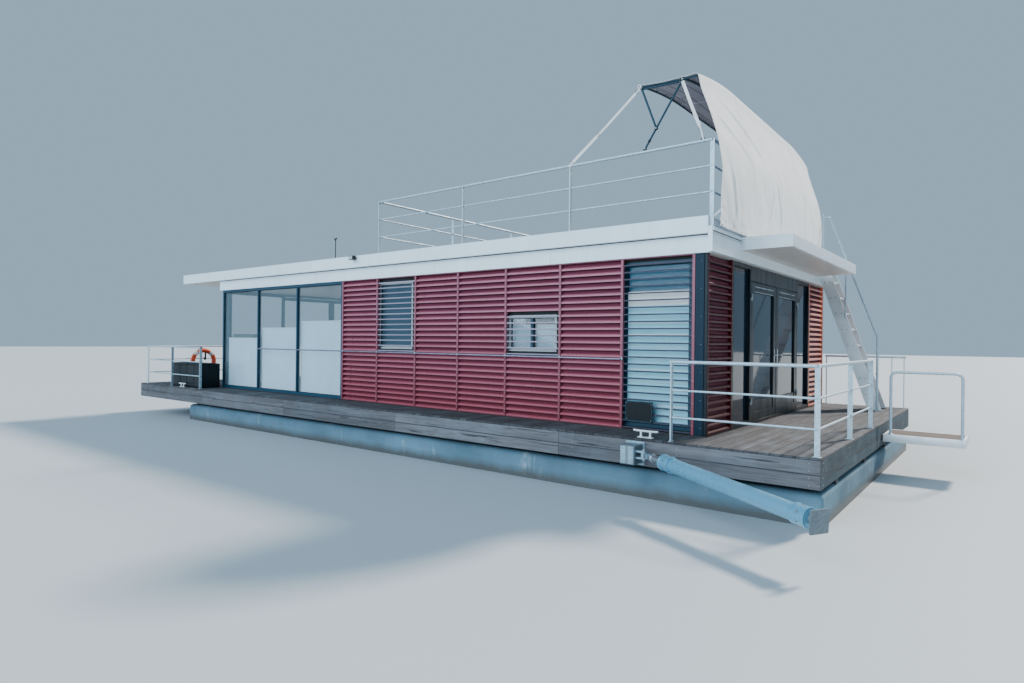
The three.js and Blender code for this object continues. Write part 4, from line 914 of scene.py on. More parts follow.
class HOUSEBOAT_OT_louvres(bpy.types.Operator):
    """Folded louvre slats, their strips and carriers, and the walls behind them"""
    bl_idname = "houseboat.louvres"
    bl_label = "Louvres"

    def execute(self, context):
        cladding = context.scene.houseboat_cladding
        for word, face, way in SIDES:
            self.long_side(word, face, way, cladding)
            repaint(f"wall_{word}", "wall_board")
        self.end_panel("louvres_end_near", -2.930, -2.000, cladding)
        self.end_panel("louvres_end_far", 2.320, 3.450, cladding)
        for word, side in HALVES:
            lo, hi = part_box(f"end_wall_{word}")
            form = Form("corner_paint")
            outer = lo.y if side < 0 else hi.y
            inner = hi.y if side < 0 else lo.y
            form.block((5.61, inner, CORE[0]), (5.7105, outer - side * 0.085, CORE[1]))
            form.block((5.6285, outer - side * 0.087, CORE[0]), (5.7105, outer - side * 0.004, CORE[1]))
            form.block((5.672, outer - side * 0.030, CORE[0] + 0.001), (5.752, outer, CORE[1] - 0.001), 0.004)
            form.use("door_paint")
            form.block((5.6285, outer - side * 0.030, CORE[0]), (CABIN_X[1], outer - side * 0.012, CORE[1]),
                       0.004)
            form.screws([(5.712, outer, z) for z in evenly(CORE[0] + 0.1, CORE[1] - 0.1, 7)], (0, side, 0),
                        0.004)
            form.build(f"corner_plate_{word}", "boat", "frame", [f"end_wall_{word}"])
        return {"FINISHED"}

    def long_side(self, word, face, way, cladding):
        place = facing(BAY["start"], face, CORE[0], way)
        chance = random.Random(21 if way > 0 else 22)
        slats = Form("louvre_paint", place=place)
        for row in range(SLAT["count"]):
            start = 0
            for column in range(BAY["count"]):
                last = column == BAY["count"] - 1
                if last or is_level(row, column) != is_level(row, column + 1):
                    end = (column + 1) * BAY["pitch"]
                    # Blades before the tall window take the painted-shade copy, the others the painted-light
                    # copy
                    blade = is_level(row, column) and ("blade_painted_shade" if last else "blade_painted_light")
                    slat(slats, row, blade, SLAT["front"], cladding.nose, start + 0.020, end + 0.020,
                         chance.random())
                    start = end
        slats.use("louvre_paint", 0.2)
        for post in range(BAY["count"] + 1):
            rows = [0, SLAT["count"] - 1]
            if 0 < post < BAY["count"]:
                rows = [row for row in range(SLAT["count"]) if is_level(row, post - 1) != is_level(row, post)]
            if rows:
                x = post * BAY["pitch"] + 0.012
                slats.block((x, SLAT["strip"] + 0.0003, rows[0] * SLAT["pitch"]),
                            (x + 0.016, BAY["depth"], SLAT["first"] + rows[-1] * SLAT["pitch"] + 0.094))
        slats.build(f"slats_{word}", "boat", "louvre", [f"louvres_{word}"])
        strips = Form("louvre_edge", place=place)
        for post in range(BAY["count"] + 1):
            upright(strips, post * BAY["pitch"], SLAT["strip"], "louvre_edge", chance.random(),
                    cladding.screw)
        strips.use("louvre_edge")
        strips.block((0, 0.0005, SLAT["first"] + SLAT["count"] * SLAT["pitch"]),
                     (BAY["count"] * BAY["pitch"] + BAY["post"], BAY["depth"], LOUVRE_HEIGHT))
        strips.build(f"strips_{word}", "boat", "louvre", [f"louvre_strips_{word}"])

    def end_panel(self, node, y0, y1, cladding):
        chance = random.Random(int(y1 * 100))
        # The near end panel takes the painted-shade copy of the louvre paint, the far one the
        # painted-sunlight copy
        look = "louvre_painted_shade" if y0 < 0 else "louvre_painted_sun"
        form = Form(look, place=shift(CABIN_X[1], y0, CORE[0]) @ turn(90))
        width = y1 - y0
        for row in range(SLAT["count"]):
            slat(form, row, None, 0.005, cladding.nose, BAY["post"] - 0.010, width - BAY["post"] + 0.010,
                 chance.random(), look)
        for x in (0, width - BAY["post"]):
            upright(form, x, BAY["depth"], look, 0.3 * chance.random(), cladding.screw)
        form.build(node + "_panel", "boat", "louvre", [node])


# Windows, glazing and doors

def pleats(form, x0, x1, y, z0, z1, pitch, depth=0.007):
    """A pleated blind between two sides: its folds, its head and its lower rail"""
    count = max(round((z1 - z0) / pitch), 2)
    step = (z1 - z0) / count
    front = [(y - depth + (depth if i % 2 else 0), z0 + i * step / 2) for i in range(2 * count + 1)]
    back = [(y + 0.004 + (depth if i % 2 else 0), z) for i, (_, z) in enumerate(front)][::-1]
    form.use("blind_cloth").prism(front + back, "X", x0, x1)
    form.use("blind_rail")
    for z, tall in ((z0 - 0.008, 0.016), (z1 + 0.009, 0.020)):
        form.block((x0, y - 0.011, z - tall / 2), (x1, y + 0.011, z + tall / 2), 0.003)


def glazed(form, width, height, depth, member, panes, look, glass, gasket, blinds=None, pleat=0.02):
    """A glazed frame along X, its front at y = 0: stepped members, rubber, panes and blinds.
    blinds gives each pane the heights between which its blind hangs."""
    pitch = (width - member) / panes
    step, lip = 0.010, member * 0.16
    form.use(look)
    for z0, z1, inner in ((0, member, 1), (height - member, height, -1)):
        a, b = (z0, z1 - lip) if inner > 0 else (z0 + lip, z1)
        form.block((0, 0, a), (width, depth, b))
        form.block((0.004, step, z0 + 0.001), (width - 0.004, depth - step, z1 - 0.001), 0.001)
    for i in range(panes + 1):
        x = i * pitch
        a = x if i == 0 else x + lip
        b = x + member if i == panes else x + member - lip
        form.use(look, 0.35 + 0.3 * (i % 2))
        form.block((a, 0.0004, 0.001), (b, depth - 0.0004, height - 0.001))
        form.block((x + (0 if i == 0 else 0.001), step, 0.002),
                   (x + member - (0 if i == panes else 0.001), depth - step, height - 0.002), 0.001)
    for i in range(panes):
        x0, x1 = member + i * pitch, (i + 1) * pitch
        z0, z1 = member, height - member
        middle = depth / 2
        form.use("gasket_rubber")
        for lo, hi in (((x0 - 0.002, z0 - 0.002), (x1 + 0.002, z0 + gasket)),
                       ((x0 - 0.002, z1 - gasket), (x1 + 0.002, z1 + 0.002)),
                       ((x0 - 0.002, z0), (x0 + gasket, z1)), ((x1 - gasket, z0), (x1 + 0.002, z1))):
            form.block((lo[0], middle - 0.014, lo[1]), (hi[0], middle + 0.014, hi[1]))
        form.use(glass).block((x0 - 0.004, middle - 0.003, z0 - 0.004),
                              (x1 + 0.004, middle + 0.003, z1 + 0.004), 0.0005)
        if blinds and blinds[i]:
            low, high = blinds[i]
            pleats(form, x0 + 0.012, x1 - 0.012, depth + 0.014, low, high, pleat)


class HOUSEBOAT_OT_windows(bpy.types.Operator):
    """The six windows behind the louvres, with their blinds"""
    bl_idname = "houseboat.windows"
    bl_label = "Windows"

    def execute(self, context):
        cladding = context.scene.houseboat_cladding
        depth = 0.070
        for word, face, way in SIDES:
            for window in WINDOWS:
                (x0, x1), (z0, z1) = window["x"], window["z"]
                width, height = x1 - x0, z1 - z0
                form = Form(place=facing(x0, face + way * 0.095, DECK + z0, way))
                name = window["name"]
                look = "frame_paint" if name == "tall" else "pale_frame_paint"
                top = height - (0.62 if name == "tall" else 0.17)
                glass = {"tall": "mirror_glass", "small": "clear_glass", "middle": "slate_glass"}[name]
                glazed(form, width, height, depth, 0.050, window["sashes"], look, glass, cladding.gasket,
                       [(0.062, top)] * 2 if name == "small" else None, cladding.pleat)
                if name == "tall":
                    # The blind behind the tall window carries the painted sky reflection
                    form.use("blind_painted_sky")
                    form.block((0.056, 0.016, 0.056), (width - 0.056, 0.022, top), 0.001)
                    form.use("blind_rail")
                    form.block((0.052, 0.010, top - 0.004), (width - 0.052, 0.026, top + 0.205), 0.010)
                    for z in evenly(0.056 + 0.25, top - 0.25, 8):
                        form.block((0.056, 0.0145, z), (width - 0.056, 0.0165, z + 0.010), 0.001)
                if name == "small":
                    form.use("frame_paint")
                    form.block((width / 2 - 0.026, -0.004, 0.045), (width / 2 + 0.026, 0.020, height - 0.045),
                               0.003)
                form.use(look).block((-0.004, -0.016, -0.001), (width + 0.004, 0.012, 0.016), 0.003)
                form.build(f"window_{name}_{word}_unit", "boat", "frame", [f"window_{name}_{word}"])
        return {"FINISHED"}


class HOUSEBOAT_OT_lake_glazing(bpy.types.Operator):
    """Glazed sides of the lake end, and its end screen with two sliding leaves"""
    bl_idname = "houseboat.lake_glazing"
    bl_label = "Lake glazing"

    def execute(self, context):
        cladding = context.scene.houseboat_cladding
        for word, face, way in SIDES:
            lo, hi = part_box(f"glazing_{word}")
            form = Form(place=facing(lo.x, face + way * 0.010, lo.z, way))
            tops = (1.22, 1.46, 1.60) if way > 0 else (0.95, 0.95, 1.25)
            glazed(form, hi.x - lo.x, hi.z - lo.z, hi.y - lo.y, 0.060, 3, "frame_paint", "clear_glass",
                   cladding.gasket, [(0.075, top) for top in tops], cladding.pleat)
            form.use("frame_paint")
            form.block((-0.002, -0.008, -0.0002), (hi.x - lo.x, 0.010, 0.020), 0.003)
            form.build(f"glazing_{word}_unit", "boat", "frame", [f"glazing_{word}"])
        self.screen(cladding)
        for word in ("near", "far"):
            node = f"lake_door_{word}"
            lo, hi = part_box(node)
            form = Form(place=shift(lo.x, hi.y, lo.z) @ turn(-90))
            width = hi.y - lo.y
            glazed(form, width, hi.z - lo.z, hi.x - lo.x, 0.080, 1, "frame_paint", "clear_glass",
                   cladding.gasket)
            grip = 0.040 if word == "far" else width - 0.040
            form.use("black_plastic").block((grip - 0.014, -0.004, 0.93), (grip + 0.014, 0.004, 1.13), 0.003)
            form.use("bright_steel")
            form.pipe(bend([(grip, 0, 0.96), (grip, -0.012, 0.96), (grip, -0.012, 1.10), (grip, 0, 1.10)],
                           0.01), 0.005, 10)
            form.build(node + "_leaf", f"{word}_lake_door", "frame", [node])
        return {"FINISHED"}

    def screen(self, cladding):
        lo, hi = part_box("lake_screen")
        quarter = (hi.y - lo.y) / 4
        form = Form("frame_paint")
        member, sill = 0.060, 0.050
        form.block((lo.x, lo.y, lo.z), (hi.x, hi.y, lo.z + sill), 0.003)
        form.block((lo.x, lo.y, hi.z - member), (hi.x, hi.y, hi.z), 0.003)
        for y in (lo.y, hi.y - member):
            form.block((lo.x, y, lo.z + 0.001), (hi.x, y + member, hi.z - 0.001), 0.003)
        form.use("bright_steel")
        for x in (lo.x + 0.030, lo.x + 0.060):
            form.block((x - 0.003, lo.y + member, lo.z + sill - 0.001),
                       (x + 0.003, hi.y - member, lo.z + sill + 0.0002), 0.0005)
        for y0, y1 in ((lo.y, lo.y + quarter), (hi.y - quarter, hi.y)):
            form.place = shift(hi.x - 0.060, y1, lo.z + 0.02) @ turn(-90)
            glazed(form, y1 - y0 - 0.020, hi.z - lo.z - 0.04, 0.060, 0.060, 1,
                   "frame_paint", "clear_glass", cladding.gasket, [(0.075, 1.30)], cladding.pleat)
        form.place = Matrix.Identity(4)
        form.build("lake_screen_frame", "boat", "frame", ["lake_screen"])


class HOUSEBOAT_OT_boarding_doors(bpy.types.Operator):
    """Dark screen of the boarding end with its side panes and double door"""
    bl_idname = "houseboat.boarding_doors"
    bl_label = "Boarding doors"

    def execute(self, context):
        cladding = context.scene.houseboat_cladding
        x0, x1 = 5.690, 5.790
        near, far, door_near, door_far, head = -1.990, 2.310, -1.170, 1.430, 3.800
        form = Form()
        for a, b in ((near, door_near), (door_far, far)):
            form.place = shift(x1, a, CORE[0]) @ turn(90)
            glazed(form, b - a, CORE[1] - CORE[0], x1 - x0, 0.060, 1, "door_paint", "dark_glass",
                   cladding.gasket)
        form.place = Matrix.Identity(4)
        form.use("door_paint")
        form.block((x0, door_near - 0.001, head), (x1, door_far + 0.001, CORE[1]), 0.003)
        form.block((x0, door_near - 0.001, CORE[0]), (x1, door_far + 0.001, CORE[0] + 0.030), 0.003)
        form.use("fastener_steel").block((x0 + 0.01, door_near, CORE[0] + 0.029),
                                         (x1 - 0.01, door_far, CORE[0] + 0.031), 0.0005)
        self.hinges(form, False, (-1, 1), door_near, door_far)
        form.build("boarding_screen", "boat", "frame", ["door_screen"])
        middle = (door_near + door_far) / 2
        z0 = CORE[0] + 0.040
        for word, side in HALVES:
            hinged = door_near + 0.006 if side < 0 else door_far - 0.006
            y0, y1 = sorted((hinged, middle + side * 0.010))
            leaf = Form(place=shift(x1, y0, z0) @ turn(90))
            glazed(leaf, y1 - y0, head - 0.010 - z0, 0.060, 0.150, 1, "door_paint", "dark_glass",
                   cladding.gasket)
            leaf.use("door_paint").block((0.144, 0.008, 0.09), (y1 - y0 - 0.144, 0.052, 0.30), 0.003)
            leaf.use("bright_steel")
            for z in (head - 0.160 - z0, head - 0.080 - z0):
                leaf.block((0.150, -0.002, z), (y1 - y0 - 0.150, 0.004, z + 0.010), 0.001)
            leaf.place = Matrix.Identity(4)
            self.hinges(leaf, True, (side,), door_near, door_far)
            self.handle(leaf, x1, middle + side * 0.085, side)
            leaf.build(f"door_{word}_leaf", f"{word}_boarding_door", "frame", [f"door_{word}"])
        return {"FINISHED"}

    def hinges(self, form, on_leaf, sides, door_near, door_far):
        form.use("fastener_steel")
        x = 5.803
        for side in sides:
            y = door_near + 0.003 if side < 0 else door_far - 0.003
            way = -side if on_leaf else side
            for z in (DECK + 0.300, DECK + 1.900):
                low, high = (z + 0.0503, z + 0.100) if on_leaf else (z, z + 0.050)
                form.block((5.775, y, low), (x - 0.002, y + way * 0.040, high))
                form.turned([(0.011, low), (0.012, low + 0.001), (0.012, high - 0.001), (0.011, high)],
                            (x, y, 0), sides=20)
                form.screws([(x - 0.002, y + way * 0.026, (low + high) / 2)], X, 0.005)

    def handle(self, form, face, y, side):
        """A lever on a long plate"""
        z = DECK + 1.050
        form.use("bright_steel")
        form.block((face - 0.002, y - 0.018, z - 0.13), (face + 0.006, y + 0.018, z + 0.10), 0.003)
        form.turned([(0.013, 0.004), (0.013, 0.012), (0.010, 0.014)], (face, y, z), X, 20)
        form.pipe(bend([(face + 0.004, y, z), (face + 0.050, y, z), (face + 0.050, y + side * 0.115, z)],
                       0.018), 0.009, 16, ease=0.003)
        form.use("black_plastic").turned([(0.007, 0.005), (0.007, 0.007)], (face, y, z - 0.08), X, 16)


# Roof and awning

class HOUSEBOAT_OT_roof(bpy.types.Operator):
    """Two roof tiers with panelled edges, soffits, capping, roofing sheet and roof boards"""
    bl_idname = "houseboat.roof"
    bl_label = "Roof"

    def execute(self, context):
        chance = random.Random(31)
        lo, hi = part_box("roof_lower")
        form = Form()
        self.band(form, lo, hi, 0.022, 3.1, chance)
        form.use("soffit_paint")
        form.block((lo.x + 0.01, lo.y + 0.01, lo.z + 0.0005), (hi.x, hi.y - 0.01, hi.z), 0.001)
        form.use("seam_shadow")
        form.block((lo.x - 0.002, lo.y - 0.002, hi.z - 0.010), (hi.x, hi.y + 0.002, hi.z), 0.0005)
        form.build("roof_lower_tier", "boat", "white", ["roof_lower"])
        self.upper(chance)
        lo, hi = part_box("roof_boards")
        form = Form()
        rows = round((hi.y - lo.y) / BOARD_PITCH)
        step = (hi.y - lo.y) / rows
        for i in range(rows):
            form.use("long_timber")
            butted(form, lo.x, hi.x, 2.4, chance, lambda a, b: form.block(
                (a, lo.y + i * step + 0.003, lo.z), (b, lo.y + (i + 1) * step - 0.003, hi.z), 0.0025))
        form.build("roof_planks", "boat", "timber", ["roof_boards"])
        return {"FINISHED"}

    def band(self, form, lo, hi, thick, longest, chance):
        """Painted edge panels with fine joints round a tier"""
        edge = 0.004
        for y, way in ((lo.y, 1), (hi.y, -1)):
            form.use("roof_paint")
            butted(form, lo.x, hi.x, longest, chance, lambda a, b: form.block(
                (a, y, lo.z), (b, y + way * thick, hi.z), edge), 0.002)
        for x, way in ((lo.x, 1), (hi.x, -1)):
            form.use("roof_paint")
            butted(form, lo.y + thick, hi.y - thick, longest, chance, lambda a, b: form.block(
                (x, a, lo.z), (x + way * thick, b, hi.z), edge), 0.002)

    def upper(self, chance):
        lo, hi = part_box("roof_upper")
        end, top, bed, low, rim = ROOF_END, ROOF_TOP, ROOF_BED, 4.270, 0.070
        form = Form()
        slab_lo, slab_hi = Vector((lo.x, lo.y, low)), Vector((end, hi.y, top))
        self.band(form, slab_lo, slab_hi, 0.030, 3.05, chance)
        form.use("soffit_paint")
        for x0, x1 in ((lo.x + 0.02, -7.7), (-7.697, -6.8)):
            form.block((x0, lo.y + 0.02, low + 0.002), (x1, hi.y - 0.02, low + 0.020))
        form.block((-6.797, lo.y + 0.02, low + 0.002), (end - 0.02, hi.y - 0.02, low + 0.020))
        for y0, y1 in ((lo.y + 0.004, lo.y + rim), (hi.y - rim, hi.y - 0.004)):
            form.use("roof_paint", 0.6)
            form.block((lo.x + 0.004, y0, low + 0.02), (end - 0.004, y1, top - 0.001), 0.004)
        for x0, x1 in ((lo.x + 0.004, lo.x + rim), (end - rim, end - 0.004)):
            form.block((x0, lo.y + 0.004, low + 0.02), (x1, hi.y - 0.004, top - 0.001), 0.004)
        form.use("roof_paint", 0.8)
        for y0, y1 in ((lo.y - 0.002, lo.y + rim + 0.003), (hi.y - rim - 0.003, hi.y + 0.002)):
            form.block((lo.x - 0.002, y0, top - 0.004), (end + 0.002, y1, top + 0.0004), 0.0015)
        form.use("roof_sheet")
        form.block((lo.x + 0.03, lo.y + 0.03, low + 0.015), (end - 0.03, hi.y - 0.03, bed))
        form.use("roof_paint", 0.4)
        form.block((lo.x + 0.5, lo.y + rim, bed - 0.001), (lo.x + 0.505, hi.y - rim, bed + 0.003), 0.001)
        self.lip(form, lo, hi, end)
        form.use("black_plastic")
        for x, y in ((-8.2, 3.2), (-8.2, -2.7), (-2.0, 3.2)):
            form.turned([(0.075, 0), (0.075, 0.01), (0.045, 0.035), (0.012, 0.04)], (x, y, bed), sides=20)
        form.build("roof_upper_tier", "boat", "white", ["roof_upper"])

    def lip(self, form, lo, hi, end):
        """The boxed end of the roof over the boarding doors"""
        form.use("roof_paint", 0.55)
        form.prism(plate(end + 0.001, 4.030, LIP_FACE, LIP_TOP, 0.005), "Y", lo.y, hi.y)
        form.use("roof_paint", 0.9).block((5.885, lo.y, 4.300), (5.915, -1.975, 4.345), 0.003)
        form.use("seam_shadow").block((5.8945, lo.y + 0.004, 4.292), (5.905, -1.979, 4.3005), 0.001)
        for y in (-1.97, 2.38):
            form.block((5.8945, y - 0.0015, 4.034), (5.8952, y + 0.0015, 4.165), 0.0003)
        form.block((5.8945, lo.y + 0.004, 4.2655), (5.8953, hi.y - 0.004, 4.2695), 0.0003)


class HOUSEBOAT_OT_awning(bpy.types.Operator):
    """Box awning: a blank front rail, end caps and a panelled underside"""
    bl_idname = "houseboat.awning"
    bl_label = "Awning"

    def execute(self, context):
        lo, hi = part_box("porch_awning")
        form = Form("awning_paint")
        form.prism(plate(lo.x, lo.z + 0.006, hi.x - 0.036, hi.z, 0.008, 4), "Y", lo.y + 0.006, hi.y - 0.006)
        rail = plate(hi.x - 0.034, lo.z + 0.002, hi.x, hi.z - 0.002, 0.007, 4)
        form.use("awning_paint", 0.8).prism(rail, "Y", lo.y + 0.004, hi.y - 0.004)
        cap = plate(lo.x, lo.z, hi.x - 0.030, hi.z, 0.010, 4)
        form.use("awning_paint", 0.4)
        for outer, inner, side in ((lo.y, lo.y + 0.008, -1), (hi.y, hi.y - 0.008, 1)):
            form.prism(cap, "Y", outer, inner)
            form.screws([(x, outer, z) for x in (lo.x + 0.04, hi.x - 0.08)
                         for z in (lo.z + 0.03, hi.z - 0.03)], (0, side, 0), 0.006)
        form.use("soffit_paint")
        joints = [lo.y + 0.012, -0.42, 0.95, hi.y - 0.012]
        for y0, y1 in zip(joints, joints[1:]):
            form.block((lo.x + 0.004, y0 + 0.002, lo.z), (hi.x - 0.040, y1 - 0.002, lo.z + 0.010))
        form.build("awning_box", "boat", "white", ["porch_awning"])
        return {"FINISHED"}


# Rails and stair

def fence(rails, corners, posts, heights, floor_at, form=None, roomy=True):
    """Level round bars through flat posts, as the CAD railings run; roomy posts have wide foot plates"""
    form = form or Form()
    ends = [b[0] for a, b in zip(corners, corners[1:]) if a[0] == b[0]]
    half, thin, cut = rails.flat / 2, rails.thick / 2, 0.012
    for x, y in posts:
        along_x = x in ends
        half_x, half_y = (half, thin) if along_x else (thin, half)
        low, high = floor_at(x, y), max(heights) + cut
        side = [(-half, low), (half, low), (half, high - cut), (half - cut, high), (cut - half, high),
                (-half, high - cut)]
        form.use("zinc_rail")
        form.prism([((x if along_x else y) + a, z) for a, z in side], *(
            ("Y", y - thin, y + thin) if along_x else ("X", x - thin, x + thin)))
        rim = 0.014 if roomy else 0
        wide_x, wide_y = half_x + rim, half_y + rim
        form.block((x - wide_x, y - wide_y, low), (x + wide_x, y + wide_y, low + 0.008))
        form.bolts([(x + a * (half - 0.010), y + (thin + 0.004), low + 0.008) if along_x else
                    (x + thin + 0.004, y + a * (half - 0.010), low + 0.008) for a in (-1, 1)], UP, 0.005)
    for level, z in enumerate(heights):
        radius = rails.top if level == len(heights) - 1 else rails.bar
        for a, b in zip(corners, corners[1:]):
            a, b = Vector((*a, z)), Vector((*b, z))
            form.use("zinc_rail", 0.8).pipe([a, b], radius, 18, ease=0.003)
            form.use("plug_plastic")
            for end, other in ((a, b), (b, a)):
                away = (end - other).normalized()
                form.turned([(radius * 0.86, -0.002), (radius * 0.86, 0.002), (radius * 0.5, 0.004)], end,
                            away, 16)
    return form


class HOUSEBOAT_OT_deck_rails(bpy.types.Operator):
    """Railings of both terraces"""
    bl_idname = "houseboat.deck_rails"
    bl_label = "Deck rails"

    def execute(self, context):
        rails = context.scene.houseboat_rails
        heights = [DECK + up for up in (0.305, 0.645, 1.000)]
        near, far, tail = -EDGE_Y, EDGE_Y, rails.tail
        cabin, end = 5.585, 7.285

        def floor_at(x, y):
            return DECK

        form = fence(rails, [(cabin - tail, near), (end, near), (end, tail - 0.300)],
                     [(cabin, near), (end, near), (end, -1.820), (end, -0.300)], heights, floor_at)
        form.build("boarding_rail", "boat", "galvanised", ["railing_boarding"])
        form = fence(rails, [(5.850 - tail, far), (7.255 + tail, far)],
                     [(5.850, far), (7.045, far), (7.255, far)], heights[2:], floor_at)
        form.build("boarding_far_rail", "boat", "galvanised", ["railing_boarding_far"])
        cabin, middle, end = -6.560, -8.035, -9.435
        form = fence(rails, [(cabin + tail, near), (end, near), (end, far), (cabin + tail, far)],
                     [(cabin, near), (middle, near), *[(end, y) for y in evenly(near, far, 6)],
                      (middle, far), (cabin, far)], heights, floor_at)
        form.build("lake_rail", "boat", "galvanised", ["railing_lake"])
        return {"FINISHED"}


ROOF_RAIL = {"top": 5.490, "gap": 0.338, "lake": -0.685, "end": 5.865, "near": -3.020, "far": 3.130,
             "stair": 2.480}


class HOUSEBOAT_OT_roof_rails(bpy.types.Operator):
    """Railing of the roof terrace in its two parts"""
    bl_idname = "houseboat.roof_rails"
    bl_label = "Roof rails"

    def execute(self, context):
        rails = context.scene.houseboat_rails
        r = ROOF_RAIL
        heights = [r["top"] - 2 * r["gap"], r["top"] - r["gap"], r["top"]]

        def floor_at(x, y):
            if x > ROOF_END:
                return LIP_TOP
            return ROOF_TOP if y < -3.0 else 4.468

        along = evenly(r["lake"], r["end"], 4)
        across = evenly(r["near"], r["far"], 4)
        guard = along[2]
        posts = [(x, r["near"]) for x in along]
        posts += [(r["end"], y) for y in evenly(r["near"], r["stair"], 4)[1:]]
        form = fence(rails, [(r["end"], r["stair"]), (r["end"], r["near"]), (r["lake"] - 0.04, r["near"])],
                     posts, heights, floor_at, roomy=False)
        fence(rails, [(guard, r["stair"]), (r["end"], r["stair"])], [(guard, r["stair"])], heights, floor_at,
              form, roomy=False)
        form.build("roof_rail_near", "boat", "galvanised", ["railing_roof_near"])
        posts = [(x, r["far"]) for x in along] + [(r["lake"], y) for y in across[1:-1]]
        form = fence(rails, [(r["lake"], r["near"] + 0.0293), (r["lake"], r["far"]), (r["end"], r["far"])],
                     posts, heights, floor_at, roomy=False)
        form.build("roof_rail_far", "boat", "galvanised", ["railing_roof_far"])
        return {"FINISHED"}


class HOUSEBOAT_OT_grab_rails(bpy.types.Operator):
    """Grab rails along the cabin on round studs"""
    bl_idname = "houseboat.grab_rails"
    bl_label = "Grab rails"

    def execute(self, context):
        for word, face, way in SIDES:
            y, z = face - way * 0.060, DECK + 1.000
            studs = [-4.973] + [BAY["start"] + 0.020 + i * BAY["pitch"] for i in range(BAY["count"])]
            form = Form("grab_steel", 0.8)
            form.pipe([(studs[0] - 0.020, y, z), (studs[-1] + 0.020, y, z)], 0.013, 16, ease=0.003)
            for x in studs:
                foot = face + way * (0.009 if x < BAY["start"] else -0.0003)
                form.use("zinc_rail", 0.4).pipe([(x, y, z), (x, foot, z)], 0.009, 12)
                form.turned([(0.020, 0), (0.020, 0.004), (0.012, 0.009)], (x, foot, z), (0, -way, 0), 18)
            form.use("plug_plastic")
            for x, side in ((studs[0] - 0.020, -1), (studs[-1] + 0.020, 1)):
                form.turned([(0.011, -0.002), (0.011, 0.002), (0.006, 0.004)], (x, y, z), (side, 0, 0), 14)
            form.build(f"grab_rail_{word}_piece", "boat", "galvanised", [f"grab_rail_{word}"])
        return {"FINISHED"}


STAIR = {"near": 2.560, "far": 3.130, "foot": 6.905, "lean": 0.34, "half": 0.115, "rise": 0.310, "treads": 8}


